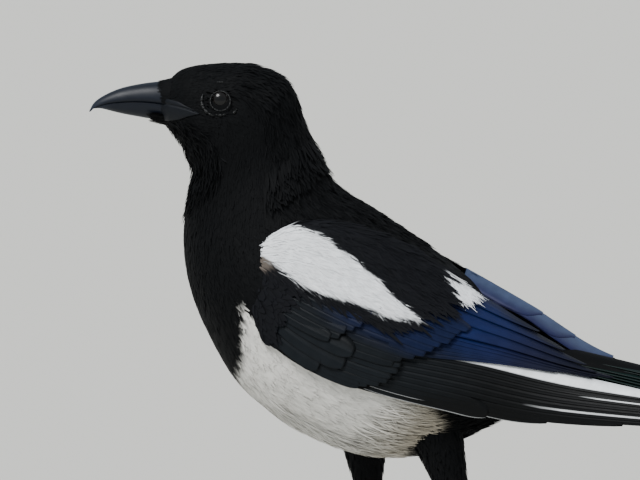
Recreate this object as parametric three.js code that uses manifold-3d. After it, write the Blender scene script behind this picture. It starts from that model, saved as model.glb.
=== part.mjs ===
// A Eurasian magpie at life size, standing with its head turned a little to its left.
// Millimetres, +Z up, the bill towards -X and the bird's left side towards -Y.
import * as THREE from "three";
import { mergeVertices } from "three/addons/utils/BufferGeometryUtils.js";
import Module from "manifold-3d";

const wasm = await Module();
wasm.setup();

// Driving dimensions
const gap = 0.3; // clearance between two neighbouring pieces
const headTurn = THREE.MathUtils.degToRad(15); // the head is turned to the bird's left
const neckAxisX = -53.8; // the head turns about the upright line here
const eyeRadius = 4.4;
const eyeCentre = [-70.6, 10.7, 208.8]; // x, distance from the middle plane, z, before the turn
const lidThickness = 0.9;
const lidOpen = [3.5, 2.9]; // half length and half height of the opening between the lids
const lidTilt = 0.15;
const gapeFront = [-94, 207.2]; // x and z where the line of the mouth leaves the bill
const gapeCorner = [-78.4, 204];
const gapeSag = 0.8; // how far the line bows upwards between the two
const gapeHalf = 0.45; // half its width at the bill
const gapeDepth = 0.8;
const nostril = [-97.5, 210.9, 1.5]; // x, z, radius
const nostrilAside = 5.4;
const tailLength = 236;
const tailSlope = THREE.MathUtils.degToRad(-8.8);
const tailRootX = 57;
const tailRootZ = 115.5;

// The outline of the plumage, bill to tail root. Each station is one cross-section: its highest
// point on the back line and lowest on the front line as x and z in the middle plane, its half
// width, and the share of the head's turn that has reached it.
const stations = [
  { at: "bill base", back: [-90.3, 215.9], front: [-93.0, 198.5], half: 6.8, turn: 1 },
  { at: "forehead", back: [-83.4, 219.8], front: [-86.4, 192.2], half: 11.8, turn: 1 },
  { at: "eye", back: [-71.4, 221.4], front: [-83.0, 185.2], half: 15.6, turn: 1 },
  { at: "hind crown", back: [-57.2, 220.6], front: [-81.1, 178.2], half: 17.6, turn: 0.93 },
  { at: "nape", back: [-44.1, 212.9], front: [-83.0, 168.7], half: 19, turn: 0.8 },
  { at: "neck", back: [-37.9, 197.2], front: [-84.8, 154.8], half: 21.5, turn: 0.53 },
  { at: "neck base", back: [-27.8, 176.7], front: [-82.9, 138.2], half: 28.5, turn: 0.2 },
  { at: "shoulder", back: [-8.8, 164.7], front: [-75.7, 119.6], half: 34.5, turn: 0 },
  { at: "breast", back: [10.0, 153.0], front: [-61.3, 96.8], half: 36.5, turn: 0 },
  { at: "mid body", back: [25.1, 142.0], front: [-39.8, 82.4], half: 35.5, turn: 0 },
  { at: "belly", back: [37.5, 131.5], front: [-13.9, 73.7], half: 31.5, turn: 0 },
  { at: "flank", back: [45.6, 121.5], front: [11.9, 75.4], half: 24.5, turn: 0 },
  { at: "vent", back: [53.0, 115.0], front: [31.9, 85.1], half: 16.5, turn: 0 },
  { at: "tail root", back: [59.0, 112.0], front: [50.6, 94.6], half: 10, turn: 0 },
];
const lastStation = stations.length - 1;
const headEnds = 3.45 / lastStation; // the cut between head and neck, as a share of the line
const neckEnds = 6.35 / lastStation; // the cut between neck and torso
const roundSides = 28; // sides of the body's cross-section
const bodyRings = 24; // cross-sections from bill to tail root

// A smooth curve through named points.
function smooth(points) {
  const vectors = points.map((p) => new THREE.Vector3(...p));
  return new THREE.CatmullRomCurve3(vectors, false, "catmullrom", 0.5);
}

const backLine = smooth(stations.map((s) => [s.back[0], s.turn, s.back[1]]));
const frontLine = smooth(stations.map((s) => [s.front[0], s.half, s.front[1]]));

// Turns a point about the neck's upright axis by a share of the head's turn.
function turned(point, share) {
  const out = point.clone();
  out.x -= neckAxisX;
  out.applyAxisAngle(new THREE.Vector3(0, 0, 1), headTurn * share);
  out.x += neckAxisX;
  return out;
}

// One cross-section of the body as a ring of points: an ellipse that is a little wider on the
// belly's side, grown outwards by some millimetres and moved along its own normal.
function bodyRing(t, grow = 0, shift = 0, shrink = 1) {
  const back = backLine.getPoint(t);
  const front = frontLine.getPoint(t);
  const up = new THREE.Vector3(back.x - front.x, 0, back.z - front.z).multiplyScalar(0.5);
  const height = up.length();
  const middle = new THREE.Vector3((back.x + front.x) / 2, 0, (back.z + front.z) / 2);
  const along = new THREE.Vector3(up.z, 0, -up.x).normalize();
  middle.addScaledVector(along, shift);
  up.multiplyScalar(((height + grow) / height) * shrink);
  const half = (front.y + grow) * shrink;
  const ring = [];
  for (let i = 0; i < roundSides; i++) {
    const angle = (2 * Math.PI * i) / roundSides;
    const lean = 1 - 0.1 * Math.sin(angle);
    const p = middle.clone().addScaledVector(up, Math.sin(angle));
    p.y += half * lean * Math.cos(angle);
    ring.push(turned(p, back.y));
  }
  return ring;
}

// A closed surface over a row of rings with the same number of points; a fan to the middle
// closes each end.
function skinOver(rings) {
  const sides = rings[0].length;
  const points = rings.flat();
  const ends = [rings[0], rings[rings.length - 1]].map((ring) =>
    ring.reduce((sum, p) => sum.add(p), new THREE.Vector3()).divideScalar(sides),
  );
  points.push(...ends);
  const index = [];
  const last = (rings.length - 1) * sides;
  for (let j = 0; j < sides; j++) {
    const k = (j + 1) % sides;
    for (let i = 0; i < rings.length - 1; i++) {
      const here = i * sides;
      const next = here + sides;
      index.push(here + j, here + k, next + j, here + k, next + k, next + j);
    }
    index.push(points.length - 2, k, j, points.length - 1, last + j, last + k);
  }
  return closedGeometry(points, index);
}

// A thin plate between two grids of points, rows by columns. Both faces are split into
// triangles alike, so that a thin plate that curves doesn't cross itself.
function plate(upper, lower) {
  const rows = upper.length;
  const columns = upper[0].length;
  const points = [...upper.flat(), ...lower.flat()];
  const under = rows * columns;
  const at = (i, j) => i * columns + j;
  const index = [];
  for (let i = 0; i < rows - 1; i++) {
    for (let j = 0; j < columns - 1; j++) {
      const [a, b, c, d] = [at(i, j), at(i, j + 1), at(i + 1, j + 1), at(i + 1, j)];
      index.push(a, b, c, a, c, d);
      index.push(under + a, under + c, under + b, under + a, under + d, under + c);
    }
  }
  const rim = [];
  for (let j = 0; j < columns - 1; j++) rim.push(at(0, j));
  for (let i = 0; i < rows - 1; i++) rim.push(at(i, columns - 1));
  for (let j = columns - 1; j > 0; j--) rim.push(at(rows - 1, j));
  for (let i = rows - 1; i > 0; i--) rim.push(at(i, 0));
  rim.forEach((a, i) => {
    const b = rim[(i + 1) % rim.length];
    index.push(a, under + a, b, b, under + a, under + b);
  });
  return closedGeometry(points, index);
}

// A geometry from points and triangles, turned so that its faces point outwards.
function closedGeometry(points, index) {
  const geometry = new THREE.BufferGeometry().setFromPoints(points);
  let volume = 0;
  for (let i = 0; i < index.length; i += 3) {
    const [a, b, c] = [points[index[i]], points[index[i + 1]], points[index[i + 2]]];
    volume += a.dot(b.clone().cross(c));
  }
  if (volume < 0) index.reverse();
  geometry.setIndex(index);
  return geometry;
}

// A closed three.js geometry as a solid that can be joined and cut.
function solid(geometry) {
  const bare = geometry.clone();
  bare.deleteAttribute("normal");
  bare.deleteAttribute("uv");
  const merged = mergeVertices(bare, 1e-4);
  return new wasm.Manifold(
    new wasm.Mesh({
      numProp: 3,
      vertProperties: merged.attributes.position.array,
      triVerts: new Uint32Array(merged.index.array),
    }),
  );
}

// The largest closed body of a solid, as a three.js geometry.
function geometryOf(shape) {
  const bodies = shape.decompose().sort((a, b) => b.volume() - a.volume());
  const mesh = bodies[0].getMesh();
  const geometry = new THREE.BufferGeometry();
  geometry.setAttribute("position", new THREE.BufferAttribute(mesh.vertProperties, 3));
  geometry.setIndex(new THREE.BufferAttribute(mesh.triVerts, 1));
  return geometry;
}

// The body between two shares of its length, with the cut faces half a gap back. All pieces
// share the same rings, so that each fits its neighbours and what is cut to them.
function bodyPiece(from, to, grow = 0) {
  const between = [];
  for (let i = 1; i < bodyRings; i++) {
    const t = i / bodyRings;
    if (t > from + 0.008 && t < to - 0.008) between.push(bodyRing(t, grow));
  }
  const rings = [
    bodyRing(from, grow, from > 0 ? gap / 2 : 0),
    ...between,
    bodyRing(to, grow, to < 1 ? -gap / 2 : 0),
  ];
  if (from === 0) rings.unshift(bodyRing(0, grow, -1.6, 0.62), bodyRing(0, grow, -1.0, 0.85));
  if (to === 1) rings.push(bodyRing(1, grow, 1.4, 0.8));
  return solid(skinOver(rings));
}

// Bill: both halves share the mouth line. x and z in the middle plane, before the head's turn.
const mouthLine = smooth([
  [-84, 0, 205.4], [-94, 0, 207.0], [-101, 0, 207.5], [-108.4, 0, 207.2], [-114.5, 0, 206.3],
  [-118.6, 0, 204.7], [-120.6, 0, 202.9],
]);
const culmen = smooth([
  [-84, 0, 215.5], [-94, 0, 214.6], [-101, 0, 213.7], [-108.4, 0, 212.1], [-114.5, 0, 209.6],
  [-118.9, 0, 206.6], [-121.1, 0, 203.0],
]);
const chinLine = smooth([
  [-84, 0, 196.6], [-94, 0, 199.6], [-101, 0, 200.9], [-108.4, 0, 202.3], [-114, 0, 203.7],
  [-117.2, 0, 204.5],
]);
const billHalfWidth = 6.4; // at the base
const billTipHalf = 0.35;
const billRows = 10;
const billSides = 14;
const lowerReach = 0.86; // how far along the mouth line the lower half reaches
const leastRise = 0.5; // height of each half at the tip

// Half a bill: rings that run flat along the mouth line and arch to the culmen or the chin.
function billHalf(arch, mouthReach, drop = 0) {
  const rings = [];
  for (let i = 0; i <= billRows; i++) {
    const t = i / billRows;
    const edge = mouthLine.getPoint(t * mouthReach);
    const top = arch.getPoint(t);
    const half = billHalfWidth * (1 - t * mouthReach) ** 0.8 + billTipHalf;
    const rise = top.clone().sub(edge);
    rise.multiplyScalar(Math.max(1, leastRise / rise.length()));
    const lift = (gap / 2) * Math.sign(rise.z) - drop;
    const ring = [];
    for (let j = 0; j < billSides; j++) {
      const angle = (2 * Math.PI * j) / billSides;
      const bow = Math.max(0, Math.sin(angle)) ** 0.85;
      const p = edge.clone().addScaledVector(rise, bow);
      p.y += half * Math.cos(angle);
      p.z += lift;
      ring.push(turned(p, 1));
    }
    rings.push(ring);
  }
  return solid(skinOver(rings));
}

// A ball at a place given before the head's turn.
function ball(x, y, z, radius, sides) {
  const at = turned(new THREE.Vector3(x, y, z), 1);
  const sphere = new THREE.SphereGeometry(radius, sides, Math.round(sides * 0.6));
  return solid(sphere.translate(at.x, at.y, at.z));
}

// The lids: a thin dome over the eyeball.
const lidSides = 12;
function lidDome(side) {
  const [x, y, z] = eyeCentre;
  return ball(x, side * y, z, eyeRadius + gap + lidThickness, lidSides);
}

// The opening between the lids, an oval that looks outward.
function lidOpening(side) {
  const depth = 2 * eyeRadius;
  const opening = new THREE.CylinderGeometry(1, 1, depth, lidSides);
  opening.scale(lidOpen[0], 1, lidOpen[1]);
  opening.rotateY(side * lidTilt);
  opening.translate(eyeCentre[0], side * (eyeCentre[1] + depth / 2), eyeCentre[2]);
  opening.translate(-neckAxisX, 0, 0);
  opening.rotateZ(headTurn);
  opening.translate(neckAxisX, 0, 0);
  return solid(opening);
}

// A shallow cut along the gape, from the feather edge at the bill's base back below the eye.
function gapeCut(side) {
  const upper = [];
  const lower = [];
  const rows = 4;
  const reach = [side * 3, side * 20];
  for (let i = 0; i <= rows; i++) {
    const t = i / rows;
    const x = THREE.MathUtils.lerp(gapeFront[0], gapeCorner[0], t);
    const z = THREE.MathUtils.lerp(gapeFront[1], gapeCorner[1], t) + gapeSag * Math.sin(Math.PI * t);
    const wide = gapeHalf * (1 - 0.7 * t);
    upper.push(reach.map((y) => turned(new THREE.Vector3(x, y, z + wide), 1)));
    lower.push(reach.map((y) => turned(new THREE.Vector3(x, y, z - wide), 1)));
  }
  return solid(plate(upper, lower)).subtract(bodyPiece(0, headEnds, -gapeDepth));
}

// The folded wing is laid on a sheet: its lower and upper edges run from the bend of the wing
// to the tip, each point as x, distance from the middle plane and z. Over the rump the right
// wing's inner edge rides higher than the left one's.
const lowerEdge = smooth([
  [-54.2, 29, 139], [-44.8, 36, 122], [-27.1, 38.5, 110], [-3.8, 38, 102.5], [24.2, 33, 96],
  [58.7, 27, 89.5], [125.9, 24, 87.6],
]);
const upperEdges = {
  left: smooth([
    [-50.5, 27, 156], [-24, 20, 164], [3, 13, 156.5], [25, 9, 143], [50.5, 7, 126.3],
    [82, 13.5, 110.9], [127, 19.5, 100],
  ]),
  right: smooth([
    [-50.5, 27, 156], [-24, 20, 161.5], [3, 12.5, 151.5], [25, 6.5, 142.5], [50.5, 2.5, 130.3],
    [82, 9, 111.5], [127, 19, 101],
  ]),
};

// A point of a wing's sheet: u runs from the bend to the tip and v from the lower edge to the
// upper one, along a quarter of an ellipse that starts upright and ends level over the back.
function wingSheet(wing, u, v) {
  const low = lowerEdge.getPoint(THREE.MathUtils.clamp(u, 0, 1));
  const high = upperEdges[wing].getPoint(THREE.MathUtils.clamp(u, 0, 1));
  const turn = (v * Math.PI) / 2;
  return new THREE.Vector3(
    THREE.MathUtils.lerp(low.x, high.x, v),
    (wing === "left" ? -1 : 1) * THREE.MathUtils.lerp(low.y, high.y, 1 - Math.cos(turn)),
    THREE.MathUtils.lerp(low.z, high.z, Math.sin(turn)),
  );
}

// The sheet's outward normal.
function wingNormal(wing, u, v) {
  const step = 0.01;
  const along = wingSheet(wing, u + step, v).sub(wingSheet(wing, u - step, v));
  const across = wingSheet(wing, u, v + step).sub(wingSheet(wing, u, v - step));
  const normal = along.cross(across).normalize();
  return wing === "left" ? normal : normal.negate();
}

// A point at a height above the sheet.
function overSheet(wing, u, v, height) {
  return wingSheet(wing, u, v).addScaledVector(wingNormal(wing, u, v), height);
}

// The tiers of a folded wing, each a row of feathers from its lowest to its highest. Roots and
// tips are places on the sheet as [u, v], spread evenly over the row, and lift is the height of
// root and tip over the sheet. Each feather lies over the next lower one like a roof tile: it
// reaches below its own middle line and above it by these shares of the row's spacing.
const wingTiers = [
  { name: "primaries", count: 7, lift: [-1.2, -0.1], below: 0.6, above: 1.5, ridged: true,
    roots: [[0.44, 0.04], [0.44, 0.36]],
    tips: [[0.78, 0.06], [0.9, 0.12], [0.99, 0.2], [1, 0.29], [1, 0.38], [0.98, 0.48],
      [0.955, 0.6]] },
  { name: "secondaries", count: 5, lift: [-1, 0.5], below: 0.6, above: 1.3, ridged: true,
    roots: [[0.44, 0.4], [0.44, 0.6]], tips: [[0.81, 0.65], [0.85, 0.76], [0.87, 0.86]] },
  { name: "tertials", count: 3, lift: [-0.8, 1.2], below: 0.7, above: 0.9, ridged: true,
    roots: [[0.44, 0.66], [0.44, 0.88]], tips: [[0.85, 0.86], [0.81, 0.91], [0.75, 0.95]] },
  { name: "primary coverts", count: 4, lift: [0.2, 1.4], below: 0.65, above: 0.9,
    roots: [[0.27, 0.07], [0.3, 0.22]], tips: [[0.5, 0.06], [0.57, 0.13], [0.57, 0.24]] },
  { name: "greater coverts", count: 6, lift: [0.2, 1.7], below: 0.65, above: 0.9,
    roots: [[0.36, 0.28], [0.38, 0.62]], tips: [[0.6, 0.32], [0.68, 0.48], [0.68, 0.66]] },
  { name: "alula", count: 2, lift: [0.8, 2.6], below: 0.6, above: 0.7,
    roots: [[0.14, 0.14], [0.17, 0.25]], tips: [[0.36, 0.08], [0.42, 0.2]] },
  { name: "median coverts", count: 4, lift: [1.2, 2.9], below: 0.65, above: 0.9,
    roots: [[0.2, 0.3], [0.24, 0.5]], tips: [[0.42, 0.31], [0.47, 0.5]] },
  { name: "lesser coverts", count: 4, lift: [1.4, 3.6], below: 0.65, above: 0.9,
    roots: [[0.05, 0.26], [0.08, 0.5]], tips: [[0.24, 0.24], [0.3, 0.47]] },
  { name: "hind scapulars", count: 5, lift: [1.2, 3], below: 0.65, above: 0.9,
    roots: [[0.28, 0.54], [0.3, 0.9]], tips: [[0.55, 0.48], [0.58, 0.66], [0.6, 0.88]] },
  { name: "front scapulars", count: 5, lift: [1.6, 3.7], below: 0.65, above: 0.9,
    roots: [[0.05, 0.58], [0.1, 0.9]], tips: [[0.34, 0.5], [0.38, 0.68], [0.4, 0.9]] },
];
const vaneThickness = 0.55;
const vaneRidge = 0.25; // height of the raised line along a flight feather
const tileStep = 1; // how much higher each feather of a row lies than the one under it
// Half width along a feather, as shares: a narrow root, an even vane and a round tip.
const vaneShape = [
  [0, 0.55], [0.3, 0.9], [0.6, 1], [0.86, 0.88], [1, 0.3],
];

// A seeded random draw between -1 and 1.
let seed = 20417;
function draw() {
  seed = (seed * 1664525 + 1013904223) % 4294967296;
  return (seed / 4294967296) * 2 - 1;
}

// The place at a share of the way along a row of [u, v] places.
function alongPlaces(places, share) {
  const at = share * (places.length - 1);
  const i = Math.min(Math.floor(at), places.length - 2);
  return places[i].map((c, k) => THREE.MathUtils.lerp(c, places[i + 1][k], at - i));
}

// One feather of a folded wing.
function wingFeather(wing, tier, order) {
  const share = order / (tier.count - 1);
  const ends = [0, 1].map((e) => [alongPlaces(tier.roots, e), alongPlaces(tier.tips, e)]);
  const root = alongPlaces(tier.roots, share);
  const tip = alongPlaces(tier.tips, share);
  tip[0] += 0.008 * draw();
  const upper = [];
  const lower = [];
  for (const [t, wide] of vaneShape) {
    const u = THREE.MathUtils.lerp(root[0], tip[0], t);
    const v = THREE.MathUtils.lerp(root[1], tip[1], t);
    const [low, high] = ends.map(([from, to]) => THREE.MathUtils.lerp(from[1], to[1], t));
    const spacing = (high - low) / (tier.count - 1);
    const steps = [-tier.below, ...(tier.ridged ? [0.1] : []), tier.above];
    const lift = THREE.MathUtils.lerp(tier.lift[0], tier.lift[1], t);
    const pairs = steps.map((step, j) => {
      const place = THREE.MathUtils.clamp(v + step * wide * spacing, 0, 1);
      const ridge = tier.ridged && j === 1 ? vaneRidge : 0;
      const height = lift - step * wide * tileStep;
      return [
        overSheet(wing, u, place, height + ridge),
        overSheet(wing, u, place, height - vaneThickness),
      ];
    });
    upper.push(pairs.map((pair) => pair[0]));
    lower.push(pairs.map((pair) => pair[1]));
  }
  return solid(plate(upper, lower));
}

// The flesh of a folded wing under its tiers: thick at the bend, thin behind and at its edges.
const coreEnd = 0.5; // how far back it reaches, as a share of the sheet
const coreRise = 2.6; // its height over the sheet at the bend
const coreDepth = 4.5; // and its depth there
const coreLeast = 1.4; // its depth behind
function wingCore(wing) {
  const rows = 6;
  const columns = 5;
  const upper = [];
  const lower = [];
  for (let i = 0; i <= rows; i++) {
    const u = (coreEnd * i) / rows;
    const front = Math.min(1, 0.45 + u * 5);
    const hind = 1 - (u / coreEnd) ** 2;
    upper.push([]);
    lower.push([]);
    for (let j = 0; j <= columns; j++) {
      const v = j / columns;
      const rim = Math.min(1, 0.35 + 3 * Math.min(v, 1 - v));
      const top = coreRise * front * hind * rim - 0.5 * (1 - hind);
      const bottom = top - coreLeast - coreDepth * front * hind * rim;
      upper[i].push(overSheet(wing, u, v, top));
      lower[i].push(overSheet(wing, u, v, bottom));
    }
  }
  return solid(plate(upper, lower));
}

// A folded wing: its core and all its tiers.
function foldedWing(wing) {
  let shape = wingCore(wing);
  for (const tier of wingTiers) {
    for (let order = 0; order < tier.count; order++) {
      shape = shape.add(wingFeather(wing, tier, order));
    }
  }
  return shape;
}

// The tail's coverts close its root; below the middle pair lie five steps of side feathers,
// each shorter than the last. Heights are counted down from the line of the tail's top.
const tailSteps = [
  { length: 1, inner: -11.5, outer: 11.5, down: 0 },
  { length: 0.925, inner: 0.4, outer: 12.8, down: 1.0 },
  { length: 0.835, inner: 0.4, outer: 14.0, down: 2.0 },
  { length: 0.745, inner: 0.4, outer: 15.0, down: 3.0 },
  { length: 0.655, inner: 0.4, outer: 15.9, down: 4.0 },
  { length: 0.56, inner: 0.4, outer: 16.6, down: 5.0 },
];
const tailShape = [
  [0.03, 0.5], [0.3, 0.9], [0.62, 1], [0.84, 0.86], [0.95, 0.55], [1, 0.16],
];
const tailSag = 0.012; // how fast the vanes fall away from the middle line, per millimetre
const tailClose = 0.6; // how close the feathers lie at the root, as a share
const coverReach = 0.36; // how far the coverts reach along the tail, as a share
const coverHalf = 8.2; // half width of the coverts at the body
const coverDeep = 14.6; // how far they reach below the tail's top there

// A point of the tail: a distance along its line, a distance to the side and one down.
function tailPoint(along, aside, down) {
  const sag = tailSag * aside * aside;
  return new THREE.Vector3(
    tailRootX + along * Math.cos(tailSlope) + down * Math.sin(tailSlope),
    aside,
    tailRootZ + along * Math.sin(tailSlope) - (down + sag) * Math.cos(tailSlope),
  );
}

// One tail feather, with a raised line along its middle.
function tailFeather(step, side) {
  const upper = [];
  const lower = [];
  const middle = (step.inner + step.outer) / 2;
  const half = (step.outer - step.inner) / 2;
  for (const [t, wide] of tailShape) {
    const along = tailLength * step.length * t;
    const spread = Math.min(1, along / (0.4 * tailLength));
    const close = THREE.MathUtils.lerp(tailClose, 1, spread);
    const centre = Math.max(middle * close, step.inner < 0 ? 0 : step.inner + half * wide * close);
    const asides = [-1, 0, 1].map((a) => centre + a * half * wide * close);
    upper.push(asides.map((y, j) => tailPoint(along, side * y, step.down - (j === 1 ? 0.3 : 0))));
    lower.push(asides.map((y) => tailPoint(along, side * y, step.down + vaneThickness)));
  }
  return solid(plate(upper, lower));
}

// The covert-covered root of the tail: deep against the body and thin where it ends.
function tailCoverts() {
  const rows = 4;
  const sides = 12;
  const rings = [];
  for (let i = 0; i <= rows; i++) {
    const t = i / rows;
    const top = -2.2 + 4 * t ** 1.5;
    const bottom = coverDeep - 10 * (1 - (1 - t) ** 1.2);
    const half = coverHalf - 3.2 * t * t;
    const ring = [];
    for (let j = 0; j < sides; j++) {
      const angle = (2 * Math.PI * j) / sides;
      const down = THREE.MathUtils.lerp(top, bottom, 0.5 - 0.5 * Math.sin(angle));
      ring.push(tailPoint(coverReach * tailLength * t, half * Math.cos(angle), down));
    }
    rings.push(ring);
  }
  return solid(skinOver(rings));
}

// The whole tail.
function gradedTail() {
  let shape = tailCoverts().add(tailFeather(tailSteps[0], 1));
  for (const step of tailSteps.slice(1)) {
    shape = shape.add(tailFeather(step, -1)).add(tailFeather(step, 1));
  }
  return shape;
}

// Legs: the left leg stands back and the right one forward. Each joint as x, y, z.
const legs = {
  left: { hip: [14, -15, 96], heel: [28.5, -15, 50.5], foot: [15, -16, 4.6], side: -1 },
  right: { hip: [-20.5, 15, 92], heel: [-15.5, 15, 49.5], foot: [-27, 16, 4.6], side: 1 },
};
const thighTop = 12.5; // half width of the feathered thigh where it leaves the body
const thighEnd = 3.6; // and just above the heel
const shankHalf = 1.9;
const heelSwell = 0.7; // how much thicker the shank is at the heel
const ankleSwell = 0.4; // and where it meets the toes

// A limb along a curve, with a half width for each share of its length.
function limb(points, halfAt, rows, sides, flatten = 1) {
  const curve = smooth(points);
  const rings = [];
  for (let i = 0; i <= rows; i++) {
    const t = i / rows;
    const middle = curve.getPoint(t);
    const tangent = curve.getTangent(t);
    const across = new THREE.Vector3(0, 1, 0).addScaledVector(tangent, -tangent.y).normalize();
    const front = across.clone().cross(tangent);
    const half = halfAt(t);
    const ring = [];
    for (let j = 0; j < sides; j++) {
      const angle = (2 * Math.PI * j) / sides;
      const p = middle.clone().addScaledVector(across, flatten * half * Math.cos(angle));
      ring.push(p.addScaledVector(front, half * Math.sin(angle)));
    }
    rings.push(ring);
  }
  return solid(skinOver(rings));
}

// Two joints and the point halfway between them.
function throughMiddle(from, to) {
  return [from, from.map((c, i) => (c + to[i]) / 2), to];
}

// The half width of a thigh along its length, wide above and narrow at the heel.
function thighHalf(t) {
  return THREE.MathUtils.lerp(thighTop, thighEnd, Math.min(1, t * 1.06) ** 0.9);
}

// The half width of a shank along its length, swollen at its two joints.
function shankHalfAt(t) {
  const heel = heelSwell * Math.max(0, 1 - t / 0.2);
  const ankle = ankleSwell * Math.max(0, 1 - (1 - t) / 0.15);
  return shankHalf + heel + ankle;
}

// A thick slab under the floor, which trims the soles flat.
const underFloor = solid(new THREE.BoxGeometry(400, 300, 20).translate(0, 0, -10));

const toes = [
  { name: "inner", length: 21, turn: -0.5, half: 2.1, clawLength: 7.5 },
  { name: "middle", length: 29, turn: 0.03, half: 2.3, clawLength: 8 },
  { name: "outer", length: 22, turn: 0.5, half: 2.1, clawLength: 7.5 },
  { name: "hind", length: 16, turn: Math.PI - 0.05, half: 2.4, clawLength: 10.5 },
];

// The half width of a toe along its length: thick at the joints, thin between them.
const toeHalf = (half, t) => half * (1 - 0.25 * t) * (1 + 0.1 * Math.cos(t * 4.5 * Math.PI));
const soleSunk = 0.85; // a toe's middle line is this share of its half width above the floor

// A place along a toe's line over the floor.
function alongToe(leg, turn, reach, up) {
  const way = -leg.side * turn;
  const [x, y] = leg.foot;
  return [x - Math.cos(way) * reach, y + Math.sin(way) * reach, up];
}

// A toe that lies on the floor.
function toe(leg, { length, turn, half }) {
  const points = [0, 0.25, 0.5, 0.75, 1].map((t) => {
    const rise = t === 0 ? leg.foot[2] : soleSunk * toeHalf(half, t);
    return alongToe(leg, turn, length * t, rise);
  });
  return limb(points, (t) => toeHalf(half, t), 7, 6);
}

// A claw that arches forward from the end of its toe and comes down to the floor.
function claw(leg, { length, turn, half, clawLength }) {
  const start = length + gap;
  const points = [
    alongToe(leg, turn, start, half * 0.85),
    alongToe(leg, turn, start + clawLength * 0.5, half * 0.95),
    alongToe(leg, turn, start + clawLength, 0.6),
  ];
  return limb(points, (t) => half * 0.62 * (1 - 0.85 * t), 5, 6, 0.75);
}

// Materials
const finish = (color, roughness, metalness = 0) =>
  new THREE.MeshStandardMaterial({ color, roughness, metalness });
const black = finish(0x121316, 0.75);
const white = finish(0xdfe0de, 0.85);
const blueGloss = finish(0x16264a, 0.4);
const billHorn = finish(0x2b2f38, 0.35);
const eyeBrown = finish(0x120c09, 0.08);
const scaleSkin = finish(0x17181a, 0.5);
const clawHorn = finish(0x1b1b1d, 0.35);

const bird = new THREE.Group();

// Adds a named piece to the bird.
function add(name, shape, material) {
  const mesh = new THREE.Mesh(geometryOf(shape), material);
  mesh.name = name;
  bird.add(mesh);
}

const bodyRoom = bodyPiece(0, 1, gap);

// Head, with the sockets and lids of the eyes and the line of the gape
let head = bodyPiece(0, headEnds);
for (const side of [-1, 1]) {
  const [x, y, z] = eyeCentre;
  const socket = ball(x, side * y, z, eyeRadius + gap, lidSides);
  head = head.add(lidDome(side)).subtract(socket);
  head = head.subtract(lidOpening(side)).subtract(gapeCut(side));
  add(side < 0 ? "eye_left" : "eye_right", ball(x, side * y, z, eyeRadius, 14), eyeBrown);
}
add("head", head, black);
add("neck", bodyPiece(headEnds, neckEnds), black);
add("torso", bodyPiece(neckEnds, 1), white);

let upperBill = billHalf(culmen, 1).subtract(bodyRoom);
for (const side of [-1, 1]) {
  const [x, z, radius] = nostril;
  upperBill = upperBill.subtract(ball(x, side * nostrilAside, z, radius, 10));
}
add("bill_upper", upperBill, billHorn);
const lowerBill = billHalf(chinLine, lowerReach).subtract(billHalf(culmen, 1, 1.4 * gap));
add("bill_lower", lowerBill.subtract(bodyRoom), billHorn);

const leftWing = foldedWing("left").subtract(bodyRoom);
const rightWing = foldedWing("right").subtract(bodyRoom);
add("wing_left", leftWing, blueGloss);
add("wing_right", rightWing, blueGloss);
add("tail", gradedTail().subtract(bodyRoom), black);

for (const [name, leg] of Object.entries(legs)) {
  const thigh = limb(throughMiddle(leg.hip, leg.heel), thighHalf, 10, 16, 0.8);
  const shank = limb(throughMiddle(leg.heel, leg.foot), shankHalfAt, 9, 8);
  let foot = null;
  for (const spec of toes) {
    const piece = toe(leg, spec);
    foot = foot ? foot.add(piece) : piece;
    add(`claw_${name}_${spec.name}`, claw(leg, spec).subtract(underFloor), clawHorn);
  }
  foot = foot.subtract(underFloor);
  add(`foot_${name}`, foot, scaleSkin);
  add(`shank_${name}`, shank.subtract(foot), scaleSkin);
  add(`thigh_${name}`, thigh.subtract(bodyRoom).subtract(shank), black);
}

// The bird is set with the middle of its footprint box on the origin.
const box = new THREE.Box3().setFromObject(bird);
const middle = box.getCenter(new THREE.Vector3());
bird.position.set(-middle.x, -middle.y, -box.min.z);

export default bird;
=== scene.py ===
"""A Eurasian magpie at life size, standing with its head turned a little to its left.

Shapes are worked out in millimetres in the bird's own frame: the bill points to -X, the bird's
left side is -Y, +Z is up and the floor is at 0. They become metres, and move to the frame of
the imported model, when a piece is made.
"""
import logging
import math
from collections.abc import Callable
from dataclasses import dataclass, field
from enum import Enum

import bpy
import numpy as np
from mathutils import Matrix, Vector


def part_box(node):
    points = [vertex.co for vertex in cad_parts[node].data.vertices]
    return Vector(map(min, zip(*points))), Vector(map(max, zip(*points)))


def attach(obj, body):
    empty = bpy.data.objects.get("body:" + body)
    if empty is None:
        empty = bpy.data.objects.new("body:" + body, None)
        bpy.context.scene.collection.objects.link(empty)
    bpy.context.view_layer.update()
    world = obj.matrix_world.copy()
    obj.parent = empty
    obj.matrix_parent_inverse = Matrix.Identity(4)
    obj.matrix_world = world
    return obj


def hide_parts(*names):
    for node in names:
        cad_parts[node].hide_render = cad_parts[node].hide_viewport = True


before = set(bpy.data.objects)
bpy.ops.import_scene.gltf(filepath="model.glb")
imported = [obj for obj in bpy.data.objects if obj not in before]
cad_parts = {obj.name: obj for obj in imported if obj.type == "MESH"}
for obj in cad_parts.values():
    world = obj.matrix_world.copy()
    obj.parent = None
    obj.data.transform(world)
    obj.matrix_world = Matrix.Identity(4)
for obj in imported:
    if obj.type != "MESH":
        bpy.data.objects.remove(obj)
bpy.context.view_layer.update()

Array = np.ndarray
Generator = np.random.Generator
Material = bpy.types.Material
Steps = tuple[tuple[float, float], ...]  # pairs of a place and a value, or of two places
MM = 0.001
BODY = "root"
SHEET_ON_MAP = 0.003  # width of a small feather's square on the baking map
log = logging.getLogger("magpie")


class Side(Enum):
    """The bird's two sides, as the sign of Y."""

    LEFT = -1
    RIGHT = 1


# Curves and surfaces


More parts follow.
